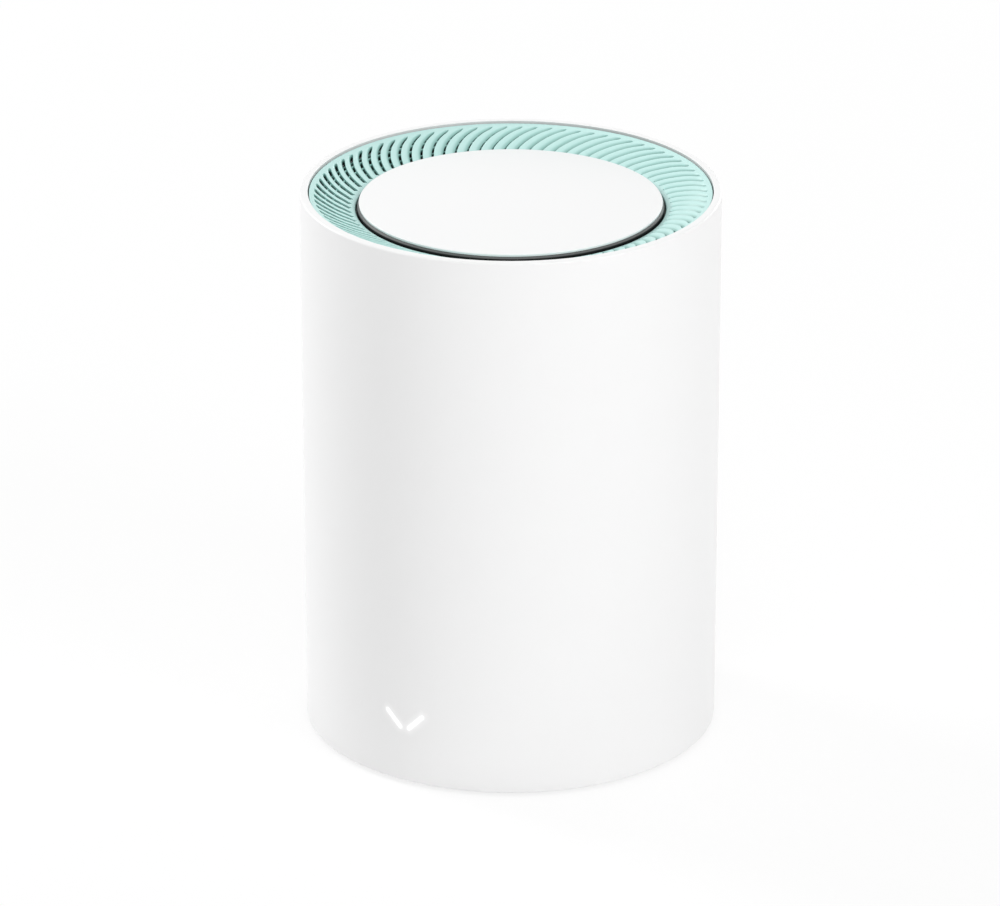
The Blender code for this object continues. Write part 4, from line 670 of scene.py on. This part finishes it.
def slotRows():
    # rows across one vane, from the rim inwards: both edges, as (radius, angle), and the
    # share of the roll that the vane has there, from 0 at a slot's ends to 1
    start = math.atan2(-slotCentre.y, grille["slotOuter"] - slotCentre.x)
    stop = slotEndAngle(grille["slotInner"])
    length = abs(stop - start) * grille["arcRadius"]
    rows = []
    for inset in (0.0, 0.03, 0.1, 0.3, 0.6, 0.9):
        radius = grille["outer"] - inset * mm
        rows.append(((radius, 0.0), (radius, pitch), 0.0))
    wide, narrow = grille["slotHalf"]
    outerTip, innerTip = grille["slotTips"]
    stations = [outerTip * share for share in (0.0, 0.02, 0.08, 0.2, 0.4, 0.7, 1.0)]
    stations += [outerTip + (length - outerTip - innerTip) * i / 16 for i in range(1, 16)]
    stations += [length - innerTip * share for share in (1.0, 0.5, 0.22, 0.06, 0.0)]
    for run in stations:
        tip, fromEnd = (outerTip, run) if run < length / 2 else (innerTip, length - run)
        full = wide + (narrow - wide) * run / length
        width = full * math.sqrt(max(0.0, 1 - max(0.0, 1 - fromEnd / tip) ** 2))
        angle = start + (stop - start) * run / length
        outward = Vector((math.cos(angle), math.sin(angle)))
        middlePoint = slotCentre + grille["arcRadius"] * outward
        low, high = middlePoint + outward * width, middlePoint - outward * width
        rows.append((
            (low.length, math.atan2(low.y, low.x)),
            (high.length, math.atan2(high.y, high.x) + pitch),
            smoothShare(fromEnd, 0, grille["slotEase"]),
        ))
    inward = math.atan2(middlePoint.y, middlePoint.x)
    for radius in (grille["slotInner"] - 0.5 * mm, grille["well"] + grille["wellRound"],
                   grille["well"] + grille["wellRound"] / 3, grille["well"]):
        rows.append(((radius, inward), (radius, inward + pitch), 0.0))
    return rows


def makeVanes():
    rows = slotRows()
    columns = [0.0, 0.008, 0.035, 0.085, 0.15, 0.23, 0.32, 0.42, 0.65, 0.9, 0.96, 1.0]
    bm = bmesh.new()
    bmesh.ops.create_grid(bm, x_segments=len(columns) - 1, y_segments=len(rows) - 1, size=0.5)
    for vert in bm.verts:
        across = columns[round((vert.co.x + 0.5) * (len(columns) - 1))]
        index = round((vert.co.y + 0.5) * (len(rows) - 1))
        low, high, ease = rows[index]
        radius = low[0] + (high[0] - low[0]) * across
        angle = low[1] + (high[1] - low[1]) * across + math.radians(grille["phase"])
        past = max(0.0, 1 - across / grille["rollWidth"])
        fall = grille["drop"] * past ** grille["rollCurve"] * ease
        crest = max(0.0, 1 - (1 - across) / grille["edgeWidth"])
        fall += grille["edgeRound"] * crest**2 * ease
        if index < 2:
            fall += grille["edgeRound"] / (1 + 2 * index)
        elif index > len(rows) - 3:
            fall += grille["wellRound"] / (1 + 2 * (len(rows) - 1 - index))
        turnUp = max(0.0, radius - grille["slotOuter"]) / (grille["outer"] - grille["slotOuter"])
        rise = grille["bandRise"] * turnUp ** grille["bandCurve"]
        vert.co = (*polar(radius, angle), dishHeight(radius) - fall + rise)
    bmesh.ops.spin(
        bm, geom=bm.verts[:] + bm.edges[:] + bm.faces[:], cent=(0, 0, 0), axis=(0, 0, 1),
        angle=2 * math.pi * (grille["vanes"] - 1) / grille["vanes"],
        steps=grille["vanes"] - 1, use_duplicate=True, use_merge=False,
    )
    bmesh.ops.remove_doubles(bm, verts=bm.verts, dist=0.001 * mm)
    bmesh.ops.recalc_face_normals(bm, faces=bm.faces)
    if sum(face.normal.z for face in bm.faces) < 0:
        bmesh.ops.reverse_faces(bm, faces=bm.faces)
    under = bmesh.ops.extrude_face_region(bm, geom=bm.faces[:], use_keep_orig=True)["geom"]
    sunk = [v for v in under if isinstance(v, bmesh.types.BMVert)]
    for vert in sunk:
        radius = vert.co.xy.length
        if radius > grille["slotOuter"]:
            vert.co.z = grille["flangeBottom"]
        else:
            vert.co.z = dishHeight(radius) - grille["depth"]
    bmesh.ops.recalc_face_normals(bm, faces=bm.faces)
    return bm


def makeGrille():
    forms = [makeVanes()]
    for radius, sunk in grille["hoops"]:
        top = dishHeight(radius) - sunk
        bottom = dishHeight(radius) - grille["depth"] - grille["hoopLap"]
        half = grille["hoopWidth"] / 2
        crest, soft = half * grille["hoopCrest"], grille["hoopRound"]
        forms.append(spunForm(roundedCorners([
            (radius - half, bottom, 0), (radius - crest, top, soft),
            (radius + crest, top, soft), (radius + half, bottom, 0),
        ], segments=3), 240))
    skirt = grille["well"] + grille["skirtWall"]
    rise = dishHeight(grille["well"]) - grille["skirtDrop"]
    floorTop, floorBottom = grille["floorTop"], grille["floorBottom"]
    cup = spunForm([
        (0, floorTop), (grille["well"], floorTop), (grille["well"], rise),
        (skirt, rise), (skirt, floorBottom), (0, floorBottom),
    ], 192)
    bosses, cutters = [], []
    for degrees in grille["bossAngles"]:
        spot = onCircle(grille["bossCircle"], degrees)
        boss = rodForm(grille["bossRadius"], grille["bossBottom"], floorBottom + 0.5 * mm)
        hole = rodForm(grille["bossHole"], grille["bossBottom"] - mm, floorTop + mm)
        bosses.append(moved(boss, spot))
        cutters.append(moved(hole, spot))
    near, far, half = grille["clipSlot"]
    for degrees in grille["clipAngles"]:
        slot = blockForm((near, -half, floorBottom - mm), (far, half, floorTop + mm))
        cutters.append(turned(slot, degrees))
    return merged(*forms, carved(carved(cup, bosses, "UNION"), cutters))


makePiece("vane_grille", makeGrille(), "mint_plastic", ["top_grille"], sharp=50)
print("grille made")

cap = {
    "radius": 37.5 * mm,
    "top": 137.85 * mm,
    "edgeFillet": 0.18 * mm,
    "lip": 0.62 * mm,
    "lipUndercut": 0.12 * mm,
    "spigot": 36.6 * mm,
    "spigotFoot": 136.0 * mm,
    "rimInner": 35.3 * mm,
    "underside": 136.35 * mm,
    "clip": (  # outline of a clip under the cap, distance from the axis and height in mm
        (23.27, 137.0), (23.27, 131.5), (24.67, 131.5), (25.37, 133.1), (24.67, 133.1), (24.67, 137.0)
    ),
    "clipHalf": 2.5 * mm,
    "steps": 256,
}
trim = {
    "inner": 36.9 * mm,
    "top": 137.2 * mm,
    "topRadius": 37.25 * mm,
    "radius": 37.88 * mm,
    "flareFoot": 136.72 * mm,
    "flareBlend": (0.05 * mm, 0.2 * mm),  # below and above its foot, where the tone changes
    "foot": 135.2 * mm,
    "shelf": 135.7 * mm,
    # painted reflection on the flare, and painted shade on the side below it
    "flareReflectionTone": 0.12,
    "footShadeTone": 0.004,
}


def shadeTrim(material):
    # painted reflection: grey on the flare; painted shade: nearly black on the side below it
    tree = material.node_tree
    below, above = trim["flareBlend"]
    low, high = trim["flareFoot"] - below, trim["flareFoot"] + above
    height = partOf(tree, objectPoint(tree), "Z")
    tone = rangeNode(tree, height, low, high, trim["footShadeTone"], trim["flareReflectionTone"], "SMOOTHSTEP")
    repaint(material, tone)


shadeTrim(finishes["dark_gloss"])


def makeCap():
    profile = roundedCorners([
        (0, cap["top"], 0),
        (cap["radius"], cap["top"], cap["edgeFillet"]),
        (cap["radius"] - cap["lipUndercut"], cap["top"] - cap["lip"], 0.05 * mm),
        (cap["spigot"], cap["top"] - cap["lip"], 0),
        (cap["spigot"], cap["spigotFoot"], 0.1 * mm),
        (cap["rimInner"], cap["spigotFoot"], 0.1 * mm),
        (cap["rimInner"], cap["underside"], 0),
        (0, cap["underside"], 0),
    ], segments=5)
    plate = spunForm(profile, cap["steps"])
    clips = []
    for degrees in grille["clipAngles"]:
        outline = [(x * mm, z * mm) for x, z in cap["clip"]]
        clip = slabForm(outline, -cap["clipHalf"], cap["clipHalf"])
        clips.append(turned(moved(clip, Matrix.Rotation(math.pi / 2, 4, "X")), degrees))
    return carved(plate, clips, "UNION")


def makeTrim():
    profile = roundedCorners([
        (trim["inner"], trim["top"], 0),
        (trim["topRadius"], trim["top"], 0.05 * mm),
        (trim["radius"], trim["flareFoot"], 0.12 * mm),
        (trim["radius"], trim["foot"], 0.1 * mm),
        (cap["rimInner"], trim["foot"], 0),
        (cap["rimInner"], trim["shelf"], 0),
        (trim["inner"], trim["shelf"], 0),
    ], segments=4)
    return spunForm(profile, cap["steps"])


makePiece("cap_disc", makeCap(), "white_shell", ["top_cap"])
makePiece("cap_trim", makeTrim(), "dark_gloss", ["cap_trim_ring"])
print("cap made")

panel = {
    "face": 43.1 * mm,
    "plate": 1.8 * mm,
    "trayHalf": 23.9 * mm,
    "trayBottom": 11.3 * mm,
    "trayTop": 30.7 * mm,
    "trayCorner": 2.7 * mm,
    "wall": 1.2 * mm,
    "edgeRadius": 51.3 * mm,
    "flangeRadius": 49.5 * mm,
    "flangeWall": 1.3 * mm,
    "flangeReach": 2.5 * mm,  # beyond the tray, on every side
    "wanAcross": 3.5 * mm,
    "lanAcross": -13.8 * mm,
    "powerAcross": 17.3 * mm,
    "socketHalf": 6.4 * mm,
    "socketBottom": 16.4 * mm,
    "socketTop": 25.6 * mm,
    "socketCorner": 0.5 * mm,
    "powerHeight": 18.4 * mm,
    "powerRadius": 3.6 * mm,
    "buttonHeight": 26.7 * mm,
    "buttonHole": 2.3 * mm,
    "edgeRound": 0.22 * mm,
}


def softenEdges(piece, width):
    modifier = piece.modifiers.new("softEdges", "BEVEL")
    modifier.width = width
    modifier.segments = 2
    modifier.limit_method = "ANGLE"
    modifier.angle_limit = math.radians(40)
    modifier.use_clamp_overlap = True
    modifier.harden_normals = True


def makePanel():
    half, bottom, top = panel["trayHalf"], panel["trayBottom"], panel["trayTop"]
    face, inset, reach = panel["face"], panel["wall"], panel["flangeReach"]
    back = face - panel["plate"]
    tray = rearSlab(roundedBox(-half, half, bottom, top, panel["trayCorner"]), back, rimRadius)
    drum = rodForm(panel["edgeRadius"], bottom - mm, top + mm, 360)
    tray = carved(tray, [drum], "INTERSECT")
    outer = panel["flangeRadius"]
    sweep = math.asin((half + reach) / outer)
    arc = []
    for radius, turn in ((outer, 1), (outer - panel["flangeWall"], -1)):
        arc += [polar(radius, math.pi / 2 + turn * sweep * (step / 16 - 1)) for step in range(33)]
    tray = carved(tray, [slabForm(arc, bottom - reach, top + reach)], "UNION")
    hollow = roundedBox(
        inset - half, half - inset, bottom + inset, top - inset, panel["trayCorner"] - inset / 2
    )
    cutters = [rearSlab(hollow, face, rimRadius + mm)]
    for across in (panel["wanAcross"], panel["lanAcross"]):
        mouth = roundedBox(
            across - panel["socketHalf"], across + panel["socketHalf"],
            panel["socketBottom"], panel["socketTop"], panel["socketCorner"], 4,
        )
        cutters.append(rearSlab(mouth, back - mm, face + mm))
    for height, radius in (
        (panel["powerHeight"], panel["powerRadius"]), (panel["buttonHeight"], panel["buttonHole"])
    ):
        hole = rodForm(radius, -mm, panel["plate"] + mm, 48)
        cutters.append(moved(hole, facingRear(panel["powerAcross"], back, height)))
    return carved(tray, cutters)


softenEdges(makePiece("port_tray", makePanel(), "black_plastic", ["port_panel"]), panel["edgeRound"])

button = {
    "radius": 2.0 * mm,
    "front": 44.3 * mm,
    "edgeRound": 0.35 * mm,
    "hollow": 0.12 * mm,  # depth of the dished face
    "flange": 3.0 * mm,
    "flangeBack": 40.0 * mm,
    "flangeFront": 41.0 * mm,
    "stem": 1.5 * mm,
}


def makeButton():
    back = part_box("mesh_button")[0].y
    profile = roundedCorners([
        (0, button["front"] - button["hollow"] - back, 0),
        (button["radius"] * 0.55, button["front"] - button["hollow"] * 0.6 - back, 0),
        (button["radius"] - button["edgeRound"] * 0.4, button["front"] - back, 0.12 * mm),
        (button["radius"], button["front"] - button["edgeRound"] * 0.6 - back, 0.15 * mm),
        (button["radius"], button["flangeFront"] - back, 0),
        (button["flange"], button["flangeFront"] - back, 0.1 * mm),
        (button["flange"], button["flangeBack"] - back, 0.1 * mm),
        (button["stem"], button["flangeBack"] - back, 0),
        (button["stem"], 0, 0.1 * mm),
        (0, 0, 0),
    ], segments=4)
    return moved(spunForm(profile, 48), facingRear(panel["powerAcross"], back, panel["buttonHeight"]))


makePiece("pair_button", makeButton(), "black_plastic", ["mesh_button"], body="button")

socket = {
    "front": 41.0 * mm,
    "back": 26.6 * mm,
    "half": 8.0 * mm,
    "bottom": 14.2 * mm,
    "top": 27.8 * mm,
    "mouthHalf": 5.9 * mm,
    "mouthBottom": 18.3 * mm,
    "mouthTop": 25.1 * mm,
    "mouthBack": 29.5 * mm,
    "latchHalf": 3.1 * mm,
    "latchBottom": 16.9 * mm,
    "catchHalf": 1.7 * mm,  # of the deeper groove under the latch
    "catchDepth": 0.5 * mm,
    "catchStart": 6.0 * mm,  # in front of the mouth's back
    "ceiling": 1.8 * mm,
    "setback": 5.0 * mm,
    "contacts": 8,
    "contactPitch": 1.02 * mm,
    "contactWidth": 0.45 * mm,
    "contactThickness": 0.35 * mm,
    "contactSlant": 4.0 * mm,
    "contactHang": 1.3 * mm,
    "edgeRound": 0.15 * mm,
}


def makeSocketHousing(across):
    front, deep, top = socket["front"], socket["mouthBack"], socket["mouthTop"]
    rear, latch = front + mm, socket["latchBottom"]
    housing = blockForm(
        (across - socket["half"], socket["back"], socket["bottom"]),
        (across + socket["half"], front, socket["top"]),
    )
    carrierHalf = socket["contacts"] * socket["contactPitch"] / 2 + gap
    hollows = [
        (socket["mouthHalf"], deep, rear, socket["mouthBottom"], top),
        (socket["latchHalf"], deep, rear, latch, socket["mouthBottom"] + mm),
        (socket["catchHalf"], deep + socket["catchStart"], rear,
         latch - socket["catchDepth"], latch + mm),
        (carrierHalf, deep, front - socket["setback"], top - mm, top + socket["ceiling"]),
    ]
    return carved(housing, [
        blockForm((across - half, start, low), (across + half, end, high))
        for half, start, end, low, high in hollows
    ])


def makeContacts(across):
    front = socket["front"] - socket["setback"] - gap
    root = socket["mouthTop"] + socket["ceiling"] / 2
    thick, slant = socket["contactThickness"], socket["contactSlant"]
    tip = socket["mouthTop"] - socket["contactHang"]
    wires = []
    for number in range(socket["contacts"]):
        middle = across + (number - (socket["contacts"] - 1) / 2) * socket["contactPitch"]
        half = socket["contactWidth"] / 2
        outline = [
            (front - 2 * thick, root), (front - 2 * thick - slant * 0.94, tip + 0.25 * mm),
            (front - 2 * thick - slant, tip), (front - 1.3 * thick - slant, tip - 0.02 * mm),
            (front - thick - slant * 0.9, tip + 0.15 * mm), (front - thick, root),
        ]
        wire = slabForm(outline, middle - half, middle + half)
        wires.append(moved(wire, Matrix(((0, 0, 1, 0), (1, 0, 0, 0), (0, 1, 0, 0), (0, 0, 0, 1)))))
    return merged(*wires)


def makeContactCarrier(across):
    half, top = socket["contacts"] * socket["contactPitch"] / 2, socket["mouthTop"]
    front = socket["front"] - socket["setback"] - gap
    return blockForm(
        (across - half, socket["mouthBack"] + gap, top + gap / 2),
        (across + half, front, top + socket["ceiling"] - gap), 0.08 * mm,
    )


for side in ("wan", "lan"):
    across = panel[side + "Across"]
    shell, insert = [side + "_jack_housing"], [side + "_contact_insert"]
    housing = makePiece(side + "_socket", makeSocketHousing(across), "black_plastic", shell)
    softenEdges(housing, socket["edgeRound"])
    makePiece(side + "_contacts", makeContacts(across), "gold_plating", insert, sharp=25)
    makePiece(side + "_contact_carrier", makeContactCarrier(across), "black_plastic", insert)

power = {
    "half": 4.5 * mm,
    "bottom": 13.4 * mm,
    "top": 23.4 * mm,
    "bore": 3.1 * mm,
    "boreDepth": 9.0 * mm,
    "mouthChamfer": 0.3 * mm,
    "pin": 1.05 * mm,
    "pinSetback": 1.0 * mm,
    "pinHollow": (0.5 * mm, 2.5 * mm),  # radius and depth of the bore in its tip
}


def makePowerHousing():
    across = panel["powerAcross"]
    housing = blockForm(
        (across - power["half"], socket["back"], power["bottom"]),
        (across + power["half"], socket["front"], power["top"]),
        0.2 * mm,
    )
    depth = socket["front"] - socket["back"]
    bore = spunForm([
        (0, depth - power["boreDepth"]), (power["bore"], depth - power["boreDepth"]),
        (power["bore"], depth - power["mouthChamfer"]), (power["bore"] + power["mouthChamfer"], depth),
        (power["bore"] + power["mouthChamfer"], depth + mm), (0, depth + mm),
    ], 64)
    hole = rodForm(power["pin"] + gap, -mm, depth, 32)
    place = facingRear(across, socket["back"], panel["powerHeight"])
    return carved(housing, [moved(bore, place), moved(hole, place)])


def makePowerPin():
    tip = socket["front"] - socket["back"] - power["pinSetback"]
    hollow, deep = power["pinHollow"]
    profile = roundedCorners([
        (0, tip - deep, 0), (hollow, tip - deep, 0), (hollow, tip, 0.08 * mm),
        (power["pin"], tip, 0.3 * mm), (power["pin"], 0, 0), (0, 0, 0),
    ], segments=5)
    place = facingRear(panel["powerAcross"], socket["back"], panel["powerHeight"])
    return moved(spunForm(profile, 40), place)


makePiece("power_socket", makePowerHousing(), "black_plastic", ["dc_jack_housing"])
makePiece("power_pin", makePowerPin(), "plated_steel", ["dc_jack_pin"])
print("rear made")

base = {
    "radius": 50.6 * mm,
    "bottom": 1.9 * mm,
    "top": 3.7 * mm,
    "ribInner": 48.3 * mm,
    "ribOuter": 49.5 * mm,
    "ribTop": 6.7 * mm,
    "plainRadius": 14.5 * mm,  # of the shallow plain disc in its middle
    "plainDepth": 0.2 * mm,
    "vents": 20,
    "ventWidth": 2.4 * mm,
    "ventReach": (17.0 * mm, 31.0 * mm),
    "circle": 41.0 * mm,  # of the feet and screws
    "footAngles": (55, 125, 235, 305),
    "footRadius": 6.0 * mm,
    "footTop": 2.4 * mm,
    "pocketTop": 2.7 * mm,
    "screwAngles": (20, 160, 200, 340),
    "screwHead": 2.4 * mm,
    "screwSeat": 3.0 * mm,
    "screwShank": 1.2 * mm,
    "screwLength": 8.0 * mm,
    "driveReach": 1.35 * mm,
    "driveWidth": 0.5 * mm,
}


def makeCover():
    plate = spunForm(roundedCorners([
        (0, base["top"], 0),
        (base["ribInner"], base["top"], 0),
        (base["ribInner"], base["ribTop"], 0.3 * mm),
        (base["ribOuter"], base["ribTop"], 0.3 * mm),
        (base["ribOuter"], base["top"], 0),
        (base["radius"], base["top"], 0.2 * mm),
        (base["radius"], base["bottom"], 0.4 * mm),
        (base["plainRadius"] + 0.1 * mm, base["bottom"], 0.1 * mm),
        (base["plainRadius"], base["bottom"] + base["plainDepth"], 0.1 * mm),
        (0, base["bottom"] + base["plainDepth"], 0),
    ], segments=4), 192)
    half, (near, far) = base["ventWidth"] / 2, base["ventReach"]
    vents, pockets, holes = [], [], []
    for number in range(base["vents"]):
        outline = roundedBox(near, far, -half, half, half * 0.98, 6)
        vent = slabForm(outline, base["bottom"] - mm, base["top"] + mm)
        vents.append(turned(vent, 360 / base["vents"] * number))
    for degrees in base["footAngles"]:
        pocket = rodForm(base["footRadius"] + gap, 0, base["pocketTop"], 48)
        pockets.append(moved(pocket, onCircle(base["circle"], degrees)))
    for degrees in base["screwAngles"]:
        hole = spunForm([
            (0, 0), (base["screwHead"] + gap, 0), (base["screwHead"] + gap, base["screwSeat"]),
            (base["screwShank"] + gap, base["screwSeat"]), (base["screwShank"] + gap, base["top"] + mm),
            (0, base["top"] + mm),
        ], 40)
        holes.append(moved(hole, onCircle(base["circle"], degrees)))
    return carved(plate, [merged(*vents), merged(*pockets), merged(*holes)])


def makeFoot(degrees):
    outer = base["footRadius"]
    form = spunForm(roundedCorners([
        (0, base["footTop"], 0), (outer, base["footTop"], 0.1 * mm), (outer, 0, 0.45 * mm),
        (outer - 1.3 * mm, 0, 0.06 * mm), (outer - 1.45 * mm, 0.2 * mm, 0.06 * mm),
        (outer - 1.9 * mm, 0.2 * mm, 0.06 * mm), (outer - 2.05 * mm, 0, 0.06 * mm), (0, 0, 0),
    ], segments=4), 64)
    return moved(form, onCircle(base["circle"], degrees))


def makeScrew(place):
    # a pan head with a cross recess, made with its seat at the origin and its head up
    head = spunForm(roundedCorners([
        (0, 1.0 * mm, 0), (base["screwHead"], 1.0 * mm, 0.5 * mm), (base["screwHead"], 0, 0.1 * mm),
        (base["screwShank"], 0, 0), (base["screwShank"], -base["screwLength"], 0.3 * mm),
        (0, -base["screwLength"], 0),
    ], segments=5), 32)
    drives = []
    for turn in (0, 90):
        drive = blockForm((-base["driveReach"], -base["driveWidth"] / 2, 0.3 * mm),
                          (base["driveReach"], base["driveWidth"] / 2, 1.5 * mm))
        for vert in drive.verts:
            if vert.co.z < mm:
                vert.co.x *= 0.45
                vert.co.y *= 0.7
        drives.append(turned(drive, turn + 18))
    return moved(carved(head, drives), place)


makePiece("base_plate", makeCover(), "black_plastic", ["base_cover"])
for number, degrees in enumerate(base["footAngles"], 1):
    makePiece(f"foot_pad_{number}", makeFoot(degrees), "foot_rubber", [f"foot_{number}"])
for number, degrees in enumerate(base["screwAngles"], 1):
    spot = onCircle(base["circle"], degrees, base["screwSeat"])
    form = makeScrew(spot @ Matrix.Rotation(math.pi, 4, "X"))
    makePiece(f"cover_screw_{number}", form, "plated_steel", [f"base_screw_{number}"])
print("base made")

view = {
    "target": Vector((0, 0, 70.5 * mm)),
    "distance": 1566.65 * mm,
    "azimuth": 30.45,
    "elevation": 22.5952,
    "swing": 0.0985,  # degrees to the left of the target
    "lens": 225.16,
}


def towards(azimuth, elevation):
    # a unit vector to the side seen from that azimuth and elevation, in radians
    level = math.cos(elevation)
    return Vector((math.sin(azimuth) * level, -math.cos(azimuth) * level, math.sin(elevation)))


def makeCamera():
    data = bpy.data.cameras.new("camera")
    data.lens = view["lens"]
    data.sensor_width = 36.0
    data.clip_start = 0.05
    data.clip_end = 50.0
    camera = newObject("camera", data)
    azimuth, elevation = math.radians(view["azimuth"]), math.radians(view["elevation"])
    swing = math.radians(view["swing"])
    up = towards(azimuth, elevation + math.pi / 2)
    away = Matrix.Rotation(swing, 3, up) @ towards(azimuth, elevation)
    spot = view["target"] + (Matrix.Rotation(-swing, 3, up) @ away) * view["distance"]
    turn = Matrix((up.cross(away), up, away)).transposed().to_4x4()
    camera.matrix_world = Matrix.Translation(spot) @ turn
    bpy.context.scene.camera = camera


makeCamera()

studio = {
    "floorSize": 12.0,
    "floorDrop": 0.05 * mm,  # below the feet
    "floorColour": (0.94, 0.94, 0.94, 1),
    "floorGlow": 0.85,  # share of plain white in the floor that the camera sees
    "worldStrength": 0.44,
    # azimuth from the camera and elevation in degrees, + to the right; distance, size, power
    "lamps": [
        ("backLeft", -125, 25, 2.5, 0.8, 29.0),
        ("right", 45, 30, 2.5, 1.1, 19.0),
        ("rear", 150, 10, 1.6, 0.4, 4.0),
        ("top", 0, 80, 2.2, 1.3, 5.0),
        ("topFront", 0, 55, 2.2, 1.1, 9.0),
    ],
}


def seenShare(tree):
    # 1 for what the camera sees, by itself, in gloss or through clear plastic
    path = newNode(tree, "ShaderNodeLightPath").outputs
    seen = mathNode(tree, "MAXIMUM", path["Is Camera Ray"], path["Is Glossy Ray"])
    return mathNode(tree, "MAXIMUM", seen, path["Is Transmission Ray"])


def makeStage():
    bm = bmesh.new()
    bmesh.ops.create_grid(
        bm, x_segments=1, y_segments=1, size=studio["floorSize"] / 2,
        matrix=Matrix.Translation((0, 0, -studio["floorDrop"])),
    )
    floor = newObject("floor", meshOf("floor", bm))
    material = bpy.data.materials.new("paleFloor")
    material.use_nodes = True
    tree = material.node_tree
    tree.nodes.remove(tree.nodes["Principled BSDF"])
    pale = newNode(tree, "ShaderNodeBsdfDiffuse", {"Color": studio["floorColour"]})
    glow = newNode(tree, "ShaderNodeEmission", {"Color": (1, 1, 1, 1), "Strength": 1.0})
    share = mathNode(tree, "MULTIPLY", seenShare(tree), studio["floorGlow"])
    lit = newNode(tree, "ShaderNodeMixShader", {0: share, 1: pale.outputs[0], 2: glow.outputs[0]})
    below = newNode(tree, "ShaderNodeNewGeometry").outputs["Backfacing"]  # clear from there
    clear = newNode(tree, "ShaderNodeBsdfTransparent")
    cover = newNode(tree, "ShaderNodeMixShader", {0: below, 1: lit.outputs[0], 2: clear.outputs[0]})
    tree.links.new(cover.outputs[0], tree.nodes["Material Output"].inputs["Surface"])
    material.cycles.emission_sampling = "NONE"
    floor.data.materials.append(material)


def makeWorld():
    world = bpy.data.worlds.new("studio")
    bpy.context.scene.world = world
    world.use_nodes = True
    tree = world.node_tree
    background = tree.nodes["Background"]
    background.inputs["Color"].default_value = (1, 1, 1, 1)
    lift = mathNode(tree, "MULTIPLY", seenShare(tree), 1.0 - studio["worldStrength"])
    feed(tree, background.inputs["Strength"], mathNode(tree, "ADD", lift, studio["worldStrength"]))


def makeLamps():
    for name, azimuth, elevation, distance, size, power in studio["lamps"]:
        data = bpy.data.lights.new(name, "AREA")
        data.shape = "DISK"
        data.size = size
        data.energy = power
        lamp = newObject(name, data)
        away = towards(math.radians(view["azimuth"] + azimuth), math.radians(elevation))
        lamp.location = view["target"] + away * distance
        lamp.rotation_euler = away.to_track_quat("Z", "Y").to_euler()


makeStage()
makeWorld()
makeLamps()
bpy.context.scene.view_settings.view_transform = "Standard"
print("studio made")
